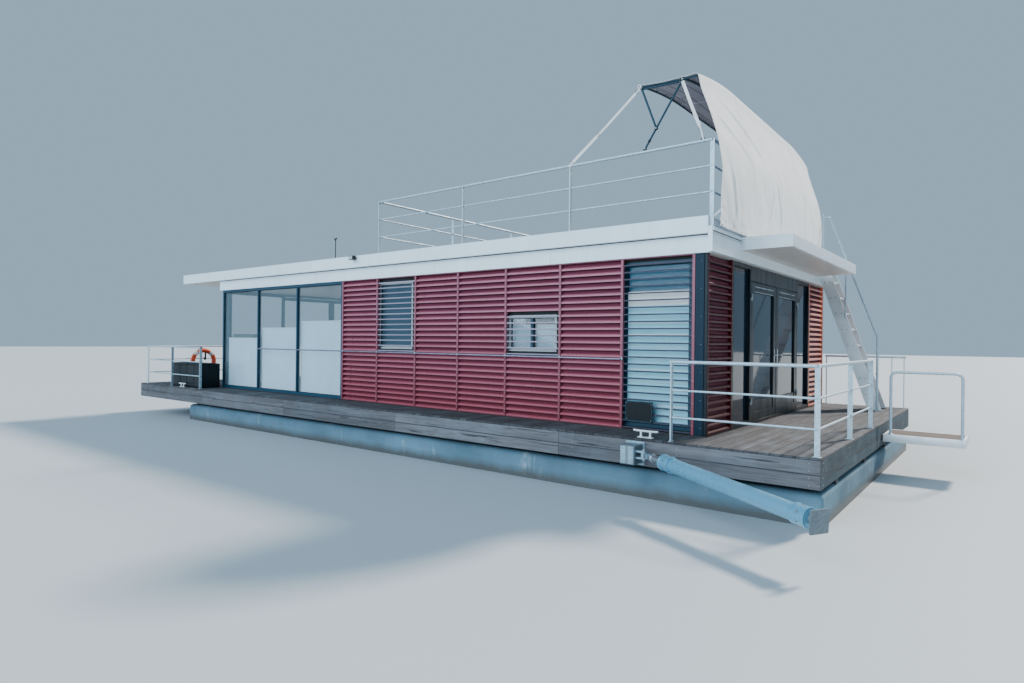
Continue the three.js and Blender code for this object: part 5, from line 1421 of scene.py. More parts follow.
class HOUSEBOAT_OT_stair(bpy.types.Operator):
    """Roof stair of folded aluminium: channel stringers and ribbed treads, with its handrail"""
    bl_idname = "houseboat.stair"
    bl_label = "Stair"

    def execute(self, context):
        s = STAIR
        form = Form()
        low, top, wall = DECK + 0.0003, ROOF_TOP, 5.8954

        def centre(z):
            return s["foot"] - s["lean"] * (z - DECK)

        def slope(half, lo, hi):
            """The stringer's outline, cut off upright at the roof's end"""
            outline = [(centre(lo) - half, lo), (centre(lo) + half, lo), (centre(hi) + half, hi),
                       (max(centre(hi) - half, wall), hi)]
            if centre(hi) - half < wall:
                outline.append((wall, min(hi, DECK + (s["foot"] - half - wall) / s["lean"])))
            return outline

        for y0, y1, web in ((s["near"], s["near"] + 0.030, 1), (s["far"] - 0.030, s["far"], -1)):
            outer = y0 if web > 0 else y1
            form.use("stair_alloy", 0.6)
            form.prism(slope(s["half"], low, top), "Y", outer, outer + web * 0.006)
            form.use("stair_alloy", 0.75)
            for side in (-1, 1):
                edge = s["half"] - 0.005
                a = Vector((centre(low) + side * edge, 0, low + 0.002))
                b = Vector((centre(top) + side * edge, 0, top - 0.002))
                if b.x < wall + 0.008:
                    b = a + (b - a) * ((a.x - wall - 0.008) / (a.x - b.x))
                flange = [(a.x - 0.005, a.z), (a.x + 0.005, a.z), (b.x + 0.005, b.z), (b.x - 0.005, b.z)]
                form.prism(flange, "Y", y0 + 0.0005, y1 - 0.0005)
            foot = centre(low)
            form.use("plug_plastic").block((foot - 0.122, y0 - 0.001, low),
                                           (foot + 0.122, y1 + 0.001, low + 0.012), 0.003)
        for i in range(s["treads"]):
            z = DECK + s["rise"] * (i + 1)
            x = centre(z)
            form.use("tread_alloy", 0.3 + 0.05 * i)
            form.block((max(x - 0.095, wall), s["near"] + 0.010, z - 0.030),
                       (x + 0.088, s["far"] - 0.010, z - 0.004))
            form.use("tread_alloy", 0.9)
            form.block((x + 0.080, s["near"] + 0.012, z - 0.034), (x + 0.095, s["far"] - 0.012, z), 0.004)
            for k in range(7):
                rib = x - 0.085 + k * 0.024
                if rib > wall:
                    form.block((rib, s["near"] + 0.012, z - 0.005), (rib + 0.010, s["far"] - 0.012, z))
            for y, side in ((s["near"], -1), (s["far"], 1)):
                form.bolts([(x + dx, y, z - 0.017) for dx in (-0.045, 0.045) if x + dx > wall + 0.02],
                           (0, side, 0), 0.007)
        form.use("tread_alloy", 0.7)
        form.block((wall, s["near"] + 0.010, 4.330), (6.120, s["far"] - 0.010, 4.360), 0.004)
        for k in range(8):
            x = wall + 0.012 + k * 0.026
            form.block((x, s["near"] + 0.016, 4.358), (x + 0.010, s["far"] - 0.016, 4.362), 0.0015)
        form.build("stair_frame", "boat", "aluminium", ["roof_stair"])
        self.handrail()
        return {"FINISHED"}

    def handrail(self):
        y = STAIR["near"] - 0.026
        against = STAIR["near"] - 0.0003
        form = Form("zinc_rail", 0.7)
        path = bend([(6.945, y, DECK + 0.0003), (6.945, y, 2.990), (6.095, y, 5.330), (5.865, y, 5.330),
                     (5.865, 2.4874, 5.330)], 0.045, 6)
        form.pipe(path, 0.021, 18)
        form.turned([(0.038, 0), (0.038, 0.005), (0.024, 0.010)], (6.945, y, DECK), sides=20)
        short, foot, top = 6.395, 3.360, 4.560
        stub = bend([(short, y, foot), (short, y, top - 0.1), (short - 0.012, y, top)], 0.1)
        form.use("zinc_rail", 0.9).pipe(stub, 0.015)
        form.use("stair_alloy")
        for x, z in ((short, foot + 0.015), (6.945, 1.750)):
            form.pipe([(x, y, z), (x, against, z)], 0.012, 12)
            form.block((x - 0.024, against - 0.006, z - 0.024), (x + 0.024, against, z + 0.024), 0.003)
        form.use("bright_steel").turned([(0.026, -0.020), (0.026, 0.020)], (6.945, y, 2.300), sides=20)
        form.build("stair_rail", "boat", "aluminium", ["stair_handrail"])


# Sun canopy

CANOPY = {"near": -3.020, "far": 2.480, "crown": 0.145, "shoulder": 1.400, "tube": 0.0145,
          "front": (4.835, 6.400), "elbow": (5.445, 6.370), "rear": (5.645, 6.370), "joint": (5.070, 5.785),
          "main_foot": 4.905, "strut_foot": 5.735, "stay_foot": 3.682, "foot": 5.5113}
CANOPY_SIDES = ((CANOPY["near"], -1), (CANOPY["far"], 1))
# The cloth's line: X and Z at the corners of the bows, and the share of their crown that it gains
DRAPE = ((4.815, 6.413, 1), (4.840, 6.413, 1), (5.435, 6.383, 1), (5.655, 6.383, 1), (5.675, 6.350, 0.97),
         (5.705, 6.210, 0.85), (5.775, 6.000, 0.6), (5.870, 5.700, 0.3), (5.935, 5.500, 0.12),
         (5.975, 5.250, 0.03), (5.990, 4.900, 0), (5.965, 4.3505, 0))


def along_shoulder(y):
    """From 0 at the bows' corners to 1 on their level crown"""
    edge = min(y - CANOPY["near"], CANOPY["far"] - y)
    return min(max(edge / CANOPY["shoulder"], 0), 1)


def crown_at(y):
    return CANOPY["crown"] * math.sin(along_shoulder(y) * math.pi / 2) ** 0.8


def cloth_rise(y):
    t = along_shoulder(y)
    return crown_at(y) + (0.003 + 0.002 * math.sin(t * math.pi) if t < 1 else 0.0003)


def through(rows, spacing):
    """A smooth line through rows of three numbers, in steps of about that spacing"""
    rows = [Vector(row) for row in rows]
    rows = [2 * rows[0] - rows[1]] + rows + [2 * rows[-1] - rows[-2]]
    made = [rows[1]]
    for p in zip(rows, rows[1:], rows[2:], rows[3:]):
        knots = [0]
        for a, b in zip(p, p[1:]):
            knots.append(knots[-1] + (b - a).length ** 0.5)
        count = max(round((p[2] - p[1]).length / spacing), 1)
        for k in range(1, count + 1):
            t = knots[1] + (knots[2] - knots[1]) * k / count
            near = [p[i] + (p[i + 1] - p[i]) * ((t - knots[i]) / (knots[i + 1] - knots[i])) for i in range(3)]
            mid = [near[i] + (near[i + 1] - near[i]) * ((t - knots[i]) / (knots[i + 2] - knots[i]))
                   for i in range(2)]
            made.append(mid[0] + (mid[1] - mid[0]) * ((t - knots[1]) / (knots[2] - knots[1])))
    return made


def side_line(foot, top, y):
    """A line on the canopy's side that sinks a little: its places, its way and the way square to it"""
    foot, top = Vector((foot[0], y, foot[1])), Vector((top[0], y, top[1]))
    along = (top - foot).normalized()

    def at(share):
        return foot.lerp(top, share) - Vector((0, 0, 0.012 * math.sin(share * math.pi)))

    return at, along, Vector((-along.z, 0, along.x))


def smooth_step(value, low, high):
    t = min(max((value - low) / (high - low), 0), 1)
    return t * t * (3 - 2 * t)


# Pulled creases of the cloth: two ends, each its distance down the cloth and its place across; width, height
CREASES = (
    ((0.98, -2.80), (1.74, -0.58), 0.030, 0.020),
    ((1.30, -2.98), (1.90, -1.45), 0.035, 0.016),
    ((1.74, -0.56), (2.70, -0.30), 0.040, 0.018),
    ((1.80, -0.60), (2.80, -1.10), 0.045, 0.014),
    ((1.10, 0.30), (1.72, -0.50), 0.035, 0.010),
    ((1.95, -2.70), (2.88, -2.35), 0.045, 0.020),
    ((1.00, 1.60), (2.60, 1.10), 0.060, 0.012),
    ((2.05, 1.95), (2.85, 1.60), 0.045, 0.014),
)


def creased(s, y):
    """Outward lift of the creases at a place on the cloth"""
    lift = 0.0
    for (s0, y0), (s1, y1), wide, high in CREASES:
        span = (s1 - s0) ** 2 + (y1 - y0) ** 2
        t = min(max(((s - s0) * (s1 - s0) + (y - y0) * (y1 - y0)) / span, 0), 1)
        away = math.hypot(s - s0 - t * (s1 - s0), y - y0 - t * (y1 - y0))
        fade = smooth_step(min(t, 1 - t), 0, 0.35)
        lift += high * fade * math.exp(-(away / wide) ** 2)
    return lift


class HOUSEBOAT_OT_canopy_frame(bpy.types.Operator):
    """Folding tube frame of the canopy with its bows and fittings, and the two stay straps"""
    bl_idname = "houseboat.canopy_frame"
    bl_label = "Canopy frame"

    def execute(self, context):
        c, tube = CANOPY, CANOPY["tube"]
        form = Form("dark_paint")
        ridge = [c["near"] + d for d in evenly(0, c["shoulder"], 12)]
        ys = ridge + [c["near"] + c["far"] - y for y in ridge[::-1]]
        for x, z in (c["front"], c["elbow"], c["rear"]):
            form.pipe([(x, y, z + crown_at(y)) for y in ys], tube)
        for y, side in CANOPY_SIDES:
            front, elbow, rear, joint = (Vector((c[name][0], y, c[name][1]))
                                         for name in ("front", "elbow", "rear", "joint"))
            foot, strut = (Vector((c[name], y, c["foot"] + 0.018)) for name in ("main_foot", "strut_foot"))
            lower = Vector((0, 0, 2 * tube))
            form.use("dark_paint")
            for start, end, radius in (
                    (foot, elbow, tube), (strut, elbow, 0.010), (joint, front, tube),
                    (front, elbow, tube - 0.001),
                    (front.lerp(elbow, 0.05) - lower, elbow.lerp(front, 0.10) - lower * 0.9, tube - 0.002),
                    (elbow, rear, tube - 0.001)):
                form.pipe([start, end], radius)
            form.use("black_plastic")
            z = c["foot"]
            for x in (c["main_foot"], c["strut_foot"]):
                base = [(x - 0.030, z), (x + 0.030, z), (x + 0.022, z + 0.010), (x - 0.022, z + 0.010)]
                form.prism(rounded(base, 0.003), "Y", y - 0.016, y + 0.016)
                cheek = [(x - 0.020, z + 0.004), (x + 0.020, z + 0.004), (x + 0.012, z + 0.034),
                         (x - 0.012, z + 0.034)]
                for aside in (-0.016, 0.011):
                    form.prism(rounded(cheek, 0.006), "Y", y + aside, y + aside + 0.005)
                form.bolts([(x, y + side * 0.016, z + 0.022)], (0, side, 0), 0.005)
            for middle, reach in ((elbow, 0.030), (front, 0.024), (joint, 0.022)):
                form.turned([(reach * 0.7, -0.017), (reach, -0.012), (reach, 0.012), (reach * 0.7, 0.017)],
                            middle, Y, 20)
                form.bolts([middle + Vector((0, side * 0.017, 0))], (0, side, 0), 0.006)
            for share in (0.12, 0.30):
                form.turned([(0.015, -0.018), (0.019, -0.014), (0.019, 0.014), (0.015, 0.018)],
                            foot.lerp(elbow, share), (elbow - foot).normalized(), 16)
        for y, out in CANOPY_SIDES:
            foot = (c["strut_foot"] - 0.030, c["foot"] + 0.15)
            top = (c["elbow"][0] + 0.005, c["elbow"][1] - 0.03)
            self.strap(form, foot, top, y + out * 0.017, 0.021)
            self.buckle(form, foot, top, y + out * 0.018, 0.02, 0.024)
            self.strap(form, (c["strut_foot"] + 0.020, c["foot"] - 0.03), foot, y + out * 0.017, 0.010)
        form.use("webbing", 0.8)
        x, z = c["front"]
        for y, out in CANOPY_SIDES:
            form.turned([(c["tube"] + 0.0005, -0.030), (0.026, -0.026), (0.029, 0.0), (0.026, 0.026),
                         (c["tube"] + 0.0005, 0.030)], (x - 0.004, y + out * 0.024, z), Y, 20, closed=True)
        form.build("canopy_tubes", "boat", "canopy_tube", ["canopy_frame"])
        self.stays()
        return {"FINISHED"}

    def stays(self):
        """Webbing from the front bow down to the rail, flat against the canopy's side"""
        c = CANOPY
        for word, y, out in (("near", c["near"], -1), ("far", c["far"], 1)):
            form = Form()
            top, foot = (c["front"][0] - 0.008, c["front"][1]), (c["stay_foot"], c["foot"] + 0.004)
            self.strap(form, foot, top, y, 0.017)
            self.strap(form, foot, top, y + out * 0.0032, 0.023, 0.42)
            for share in (0.02, 0.41, 0.95):
                self.buckle(form, foot, top, y + out * 0.004, share, 0.023)
            for x, z, inner in ((foot[0], c["foot"] - 0.0213, 0.0216),
                                (top[0] + 0.008, top[1], c["tube"] + 0.0006)):
                form.use("webbing", 0.3)
                loop = [(inner, -0.026), (inner + 0.003, -0.026), (inner + 0.003, 0.026), (inner, 0.026)]
                form.turned(loop, (x, y, z), X if z < 6 else Y, 20, closed=True)
            form.build(f"canopy_strap_{word}", "boat", "fabric", [f"canopy_stay_{word}"])

    def strap(self, form, foot, top, y, half, end=1.0):
        """A band up to a share of a line on the canopy's side"""
        at, _, aside = side_line(foot, top, y)
        form.use("webbing", 0.7)
        form.rings([[at(end * i / 16) + aside * a + Vector((0, b, 0)) for a, b in (
            (-half, -0.0012), (half, -0.0012), (half, 0.0012), (-half, 0.0012))] for i in range(17)])

    def buckle(self, form, foot, top, y, share, half):
        at, along, aside = side_line(foot, top, y)
        p = at(share)
        form.use("black_plastic")
        for a in (-0.016, 0.016):
            form.pipe([p + along * a - aside * half, p + along * a + aside * half], 0.003, 8)
        for a in (-half, half):
            form.pipe([p - along * 0.016 + aside * a, p + along * 0.016 + aside * a], 0.003, 8)


class HOUSEBOAT_OT_canopy_cloth(bpy.types.Operator):
    """The canopy's one sheet: over the bows and down to the roof's edge, with hems, seams and eyelets"""
    bl_idname = "houseboat.canopy_cloth"
    bl_label = "Canopy cloth"

    cut = (5.60, 3.00)

    def execute(self, context):
        settings = context.scene.houseboat_canopy
        line = through(DRAPE, 0.004)
        walked = [0.0]
        for a, b in zip(line, line[1:]):
            walked.append(walked[-1] + math.hypot(b.x - a.x, b.y - a.y))
        total = walked[-1]
        edges = (CANOPY["near"] - 0.040, CANOPY["far"] + 0.018)
        seams = [edges[0] + (edges[1] - edges[0]) * k / 4 for k in (1, 2, 3)]
        rows = self.stations(0, total, 0.030, settings.hem, [])
        columns = self.stations(edges[0], edges[1], 0.031, settings.hem, seams)
        self.line, self.walked, self.total, self.edges, self.seams = line, walked, total, edges, seams
        outer = [[self.point(s, y, settings, 1) for y in columns] for s in rows]
        inner = [[self.point(s, y, settings, 0) for y in columns] for s in rows]
        form = Form("canvas").use("canvas_seam").use("canvas_underside_shaded").use("canvas_pocket_shaded")
        marks = self.skin(form, outer, inner, rows, columns, settings)
        form.marks = marks
        sheet = form.build("canopy_sheet", "boat", "fabric", ["canopy_cloth"], 60)
        eyelets = self.eyelets(settings)
        return {"FINISHED"}

    def stations(self, start, end, spacing, hem, seams):
        """Places across the sheet, close together at the hems and seams"""
        made = set(evenly(start + hem, end - hem, max(round((end - start - 2 * hem) / spacing), 2)))
        made = {m for m in made if all(abs(m - seam) > 0.016 for seam in seams)}
        made |= {start, start + 0.004, start + hem - 0.003, start + hem + 0.001}
        made |= {end - hem - 0.001, end - hem + 0.003, end - 0.004, end}
        for seam in seams:
            made |= {seam - 0.011, seam - 0.008, seam + 0.008, seam + 0.011}
        return sorted(made)

    def raised(self, s, y, hem):
        """How much cloth lies on a place: more at hems and seams"""
        rim = min(s, self.total - s, y - self.edges[0], self.edges[1] - y)
        if rim < hem - 0.002:
            return 1.0
        return 1.0 if any(abs(y - seam) < 0.0095 for seam in self.seams) else 0.0

    def gathered(self, s, y):
        """Place across of a point: the far side is drawn in toward the awning's end below the rail"""
        drawn = smooth_step(s, 0.95, 1.55) - 0.25 * smooth_step(s, 2.30, self.total)
        return y - 0.16 * drawn * smooth_step(y, 0.2, self.edges[1])

    def point(self, s, y, settings, outside):
        i = next((k for k in range(1, len(self.walked)) if self.walked[k] >= s), len(self.walked) - 1)
        span = self.walked[i] - self.walked[i - 1]
        share = (s - self.walked[i - 1]) / span if span else 0
        a, b = self.line[i - 1], self.line[i]
        x, z, crown = a.lerp(b, share)
        run = Vector((b.x - a.x, b.y - a.y)).normalized()
        lift = 0.0012 + self.folds(s, x, z, y, settings)
        if outside:
            lift += 0.0018 + 0.0012 * self.raised(s, y, settings.hem)
        last = smooth_step(s, self.total - 0.02, self.total)
        up = crown * cloth_rise(y)
        return Vector((x - run.y * lift, self.gathered(s, y), z + up + run.x * lift * (1 - last)))

    def folds(self, s, x, z, y, settings):
        """Outward lift of the cloth: sagging between bows, folds down the back, creases at its foot"""
        shoulder = along_shoulder(y)
        loose = 0.45 + 0.55 * shoulder
        bow = 0.0
        for start, end, depth in ((4.845, 5.430, settings.sag), (5.455, 5.640, settings.sag * 0.3)):
            if start < x < end and z > 6.2:
                bow -= depth * loose * math.sin((x - start) / (end - start) * math.pi) ** 1.3
        down = smooth_step(s, 0.86, 1.55)
        slack = 1 - 0.55 * smooth_step(s, self.total - 0.25, self.total)
        wave = noise.noise(Vector((y * 1.2 + 0.55 * s, s * 0.8, 3.1)))
        finer = noise.noise(Vector((y * 3.4 - 1.4 * s, s * 1.9, 8.7)))
        pull = math.sin(9.0 * (s - 0.86) + 7.5 * abs(y + 0.27)) * (1 - shoulder)
        lift = settings.fold * down * slack * (0.5 + 0.55 * wave + 0.28 * finer)
        lift += settings.fold * 0.25 * down * (1 + pull) * (1 - shoulder)
        foot = smooth_step(s, self.total - 0.42, self.total - 0.06)
        crumple = noise.noise(Vector((y * 9.0, s * 12.0, 1.4)))
        crumple += 0.5 * noise.noise(Vector((y * 21.0, s * 24.0, 5.2)))
        lift += settings.fold * 0.40 * foot * (0.6 + crumple)
        corner = smooth_step(s, self.total - 0.55, self.total - 0.12) * smooth_step(-y, 2.20, 2.85)
        lift += settings.fold * 0.9 * corner * abs(noise.noise(Vector((y * 8.0 + 5.0 * s, s * 10.0, 9.3))))
        lift += creased(s, y)
        small = noise.noise(Vector((y * 7.0, s * 5.0, 6.6)))
        return max(bow + lift, bow) + 0.0012 * small * (0.3 + down) + 0.0004

    def skin(self, form, outer, inner, rows, columns, settings):
        n, m = len(columns), len(rows)
        faces, marks = [], []

        def face(points, s, y, plain=0):
            faces.append(points)
            marks.append(1 if self.raised(s, y, settings.hem) else plain)

        def at(layer, i, j):
            return layer * m * n + i * n + j

        for i in range(m - 1):
            for j in range(n - 1):
                s, y = (rows[i] + rows[i + 1]) / 2, (columns[j] + columns[j + 1]) / 2
                face([at(0, i, j), at(0, i + 1, j), at(0, i + 1, j + 1), at(0, i, j + 1)], s, y)
                # Inner faces take the painted-shade copy of the canvas, darkest at the bow pockets
                face([at(1, i, j), at(1, i, j + 1), at(1, i + 1, j + 1), at(1, i + 1, j)], s, y,
                     3 if any(abs(s - pocket) < 0.017 for pocket in (0.11, 0.30, 0.47, 0.645)) else 2)
            face([at(1, i, 0), at(1, i + 1, 0), at(0, i + 1, 0), at(0, i, 0)], rows[i], columns[0])
            face([at(0, i, n - 1), at(0, i + 1, n - 1), at(1, i + 1, n - 1), at(1, i, n - 1)], rows[i],
                 columns[-1])
        for j in range(n - 1):
            face([at(0, 0, j), at(0, 0, j + 1), at(1, 0, j + 1), at(1, 0, j)], rows[0], columns[j])
            face([at(0, m - 1, j + 1), at(0, m - 1, j), at(1, m - 1, j), at(1, m - 1, j + 1)], rows[-1],
                 columns[j])
        form.add([p for layer in (outer, inner) for row in layer for p in row], faces)
        return marks

    def eyelets(self, settings):
        """Rings in the lower hem and up the near edge"""
        form = Form()
        hem = settings.hem / 2
        near, far = self.edges
        places = [(self.total - hem, y) for y in evenly(near + 0.06, far - 0.06, settings.eyelets)]
        places += [(s, y) for y in (near + hem, far - hem) for s in evenly(1.3, self.total - 0.35, 4)]
        places += [(hem, near + hem), (hem, far - hem), (1.74, -0.57)]
        ring = [(0.007, -0.0010), (0.013, -0.0010), (0.013, 0.0008), (0.011, 0.0022), (0.0075, 0.0022),
                (0.006, 0.0010)]
        for s, y in places:
            here = self.point(s, y, settings, 1)
            aside = self.point(s, y + 0.012, settings, 1) - here
            below = self.point(min(s + 0.012, self.total), y, settings, 1)
            below -= self.point(s - 0.012, y, settings, 1)
            out = below.cross(aside).normalized()
            form.use("bright_steel")
            form.turned(ring, here, out, 16, closed=True)
            form.use("gasket_rubber").turned([(0.0068, -0.0012), (0.0068, 0.0004)], here, out, 12)
        return form.build("canopy_eyelets", "boat", "fabric")


# Mooring arm and gangway

ARM = {"origin": (5.313, -3.790, 1.425), "yaw": -29.3, "dip": 2.93, "pitch_at": 0.075, "length": 2.690,
       "from": 0.420, "to": 2.420, "rod": 0.042, "tube": 0.084, "collar": 0.100}


class HOUSEBOAT_OT_mooring_arm(bpy.types.Operator):
    """Mooring arm: bracket, knuckle, bright rod and the zinc tube that slides on it"""
    bl_idname = "houseboat.mooring_arm"
    bl_label = "Mooring arm"

    def execute(self, context):
        self.bracket()
        swing = shift(*ARM["origin"]) @ turn(ARM["yaw"])
        self.knuckle(swing)
        pitch = swing @ shift(ARM["pitch_at"], 0, 0) @ turn(ARM["dip"], "Y")
        self.rod(pitch)
        self.tube(pitch)
        return {"FINISHED"}

    def bracket(self):
        ox, oy, oz = ARM["origin"]
        face = -3.6303
        form = Form("dark_zinc")
        form.block((5.015, -3.870, 1.290), (5.225, -3.642, 1.540), 0.012)
        form.use("bracket_zinc").block((4.985, -3.646, 1.262), (5.255, face, 1.566), 0.004)
        form.use("bracket_zinc", 0.8).block((5.030, -3.8735, 1.305), (5.105, -3.868, 1.525), 0.003)
        form.block((5.135, -3.8735, 1.305), (5.210, -3.868, 1.525), 0.003)
        form.bolts([(x, -3.646, z) for x in (5.000, 5.240) for z in (1.290, 1.415, 1.540)], (0, -1, 0), 0.008)
        form.bolts([(x, -3.8715, z) for x in (5.055, 5.185) for z in (1.330, 1.500)], (0, -1, 0), 0.009)
        form.use("bracket_zinc", 0.7)
        for z0, z1 in ((1.456, 1.476), (1.374, 1.394)):
            half = 0.040
            outline = [(5.200, oy - half), (ox, oy - half)]
            outline += [(ox + half * math.sin(a), oy - half * math.cos(a))
                        for a in evenly(0.15, math.pi - 0.15, 12)]
            outline += [(ox, oy + half), (5.200, oy + half)]
            form.prism(outline, "Z", z0, z1)
            form.block((5.215, oy - 0.050, z0 - 0.004), (5.232, oy + 0.050, z1 + 0.004), 0.004)
        form.use("bright_steel")
        form.turned([(0.0138, 1.364), (0.0138, 1.4865)], (ox, oy, 0), sides=24)
        form.turned([(0.024, 1.4865), (0.024, 1.494), (0.018, 1.499)], (ox, oy, 0), sides=6)
        form.turned([(0.018, 1.352), (0.024, 1.356), (0.024, 1.366)], (ox, oy, 0), sides=6)
        form.build("arm_bracket_box", "boat", "steel", ["arm_bracket"])

    def knuckle(self, place):
        form = Form("bracket_zinc", 0.3, place=place)
        half = 0.0305
        form.turned([(0.034, -half), (0.036, -half + 0.002), (0.036, half - 0.002), (0.034, half)], ORIGIN,
                    sides=28)
        form.block((0.010, -0.0215, -half), (ARM["pitch_at"], 0.0215, half), 0.003)
        form.turned([(0.029, -0.0215), (half, -0.0195), (half, 0.0195), (0.029, 0.0215)],
                    (ARM["pitch_at"], 0, 0), Y, 28)
        form.build("arm_knuckle_body", "knuckle", "steel", ["arm_knuckle"])

    def rod(self, place):
        form = Form("bracket_zinc", 0.6, place=place)
        for side in (-1, 1):
            form.turned([(0.030, 0.0225), (0.030, 0.040)], ORIGIN, (0, side, 0), 24)
            form.block((0, side * 0.0225, -0.030), (0.090, side * 0.040, 0.030))
            form.bolts([(0, side * 0.040, 0)], (0, side, 0), 0.012)
        form.block((0.060, -0.040, -0.034), (0.110, 0.040, 0.034), 0.006)
        form.use("bright_steel")
        form.turned([(0.012, -0.040), (0.012, 0.040)], ORIGIN, Y, 20)
        form.turned([(0.050, 0.108), (0.054, 0.114), (0.054, 0.132), (0.046, 0.140)], ORIGIN, X, 28)
        form.turned([(0.040, 0.100), (ARM["rod"], 0.110), (ARM["rod"], 0.998), (0.040, 1.000)], ORIGIN, X, 32)
        form.build("arm_rod_body", "rod", "steel", ["arm_rod"])

    def tube(self, place):
        start, stop = ARM["from"] - ARM["pitch_at"], ARM["to"] - ARM["pitch_at"]
        end = ARM["length"] - ARM["pitch_at"]
        bore, wide, collar = ARM["rod"] + 0.0006, ARM["tube"], ARM["collar"]
        form = Form("zinc_tube", 0.6, place=place)
        form.turned([(bore + 0.022, start - 0.001), (wide, start + 0.004), (wide, stop + 0.050)], ORIGIN, X,
                    48)
        form.use("zinc_tube", 0.4)
        form.turned([(bore, start - 0.004), (bore + 0.016, start - 0.004), (bore + 0.018, start + 0.100),
                     (bore, start + 0.100)], ORIGIN, X, 36, closed=True)
        form.use("zinc_tube", 0.9)
        for a in (start, stop):
            ridges = [(collar - low, a + at) for low, at in (
                (0.004, 0), (0, 0.004), (0, 0.020), (0.004, 0.024), (0.006, 0.026), (0.006, 0.144),
                (0.004, 0.146), (0, 0.150), (0, 0.166), (0.004, 0.170))]
            form.turned([(wide - 0.002, a), *ridges, (wide - 0.002, a + 0.170)], ORIGIN, X, 48, closed=True)
            for angle in (math.radians(30 + 60 * k) for k in range(6)):
                out = Vector((0, math.cos(angle), math.sin(angle)))
                form.bolts([Vector((a + 0.085, 0, 0)) + out * (collar - 0.007)], out, 0.008)
        form.turned([(wide, stop + 0.166), (wide - 0.006, stop + 0.172), (0.036, stop + 0.178)], ORIGIN, X,
                    36)
        form.use("dark_zinc", 0.4)
        form.turned([(ARM["rod"] + 0.004, stop + 0.160), (ARM["rod"] + 0.004, stop + 0.186),
                     (ARM["rod"], stop + 0.190), (ARM["rod"], end - 0.015)], ORIGIN, X, 32)
        form.prism(plate(-0.110, -0.110, 0.110, 0.110, 0.014, 4), "X", end - 0.016, end - 0.001)
        form.bolts([(end - 0.016, y, z) for y in (-0.080, 0.080) for z in (-0.080, 0.080)], (-1, 0, 0), 0.011)
        form.build("arm_tube_body", "tube", "steel", ["arm_tube"])


GANGWAY = {"axis": 7.350, "top": 1.450, "near": 0.330, "far": 1.080, "length": 1.075, "thick": 0.120}


class HOUSEBOAT_OT_gangway(bpy.types.Operator):
    """Hinged gangway: aluminium edge profiles, ribbed mats, cross members and the hoop handrail"""
    bl_idname = "houseboat.gangway"
    bl_label = "Gangway"

    def execute(self, context):
        g = GANGWAY
        form = Form(place=shift(g["axis"], 0, g["top"]))
        start, near, far, low = 0.012, g["near"], g["far"], -g["thick"]
        lug_places = (near + 0.110, far - 0.110)
        form.use("stair_alloy", 0.6)
        for y, side in ((near, 1), (far, -1)):
            profile = [(y + side * in_by, z) for in_by, z in (
                (0, low), (0.050, low), (0.050, low + 0.006), (0.006, low + 0.006),
                (0.006, -0.026), (0.030, -0.026), (0.030, 0), (0, 0))]
            form.prism(rounded(profile, 0.0015, 2), "X", start, g["length"])
        form.use("stair_alloy", 0.8)
        form.block((g["length"] - 0.040, near + 0.006, low), (g["length"], far - 0.006, 0), 0.004)
        pieces = [near + 0.006, lug_places[0] - 0.018, lug_places[0] + 0.018, lug_places[1] - 0.018,
                  lug_places[1] + 0.018, far - 0.006]
        for y0, y1 in zip(pieces[::2], pieces[1::2]):
            form.block((start, y0, low), (start + 0.030, y1, 0), 0.003)
        form.block((start + 0.028, near + 0.006, low), (start + 0.034, far - 0.006, -0.008))
        form.use("stair_alloy", 0.4)
        for x in evenly(start + 0.16, g["length"] - 0.16, 4):
            form.block((x - 0.02, near + 0.006, low + 0.004), (x + 0.02, far - 0.006, low + 0.060), 0.003)
        form.use("tread_rubber").block((start + 0.034, near + 0.030, -0.026),
                                       (g["length"] - 0.040, far - 0.030, -0.006))
        for i in range(31):
            x = start + 0.040 + i * 0.0310
            if x + 0.018 < g["length"] - 0.042:
                form.block((x, near + 0.034, -0.008), (x + 0.018, far - 0.034, -0.001), 0.003)
        form.use("stair_alloy", 0.7)
        for y in lug_places:
            form.turned([(0.0068, -0.040), (0.0068, 0.040)], (0, y, -0.020), Y, 16)
            for side in (-1, 1):
                form.block((-0.009, y + side * 0.0175, -0.029), (0.030, y + side * 0.040, -0.011), 0.003)
        self.hoop(form)
        form.build("gangway_deck", "gangway_platform", "galvanised", ["gangway"])
        return {"FINISHED"}

    def hoop(self, form):
        g = GANGWAY
        y = g["near"] + 0.025
        form.use("zinc_rail", 0.7)
        form.pipe(bend([(0.110, y, -0.060), (0.110, y, 0.970), (g["length"] - 0.045, y, 0.970),
                        (g["length"] - 0.045, y, -0.060)], 0.100, 8), 0.021, 18)
        form.use("zinc_rail")
        for x in (0.110, g["length"] - 0.045):
            form.turned([(0.040, 0.0), (0.040, 0.006), (0.025, 0.012)], (x, y, 0), sides=24)
            form.bolts([(x + dx, y, 0.005) for dx in (-0.030, 0.030)], UP, 0.004)


# Fittings

LOCKER = {"x": (-8.240, -6.745), "y": (-3.490, -2.990), "height": 0.560, "lid": 0.040}


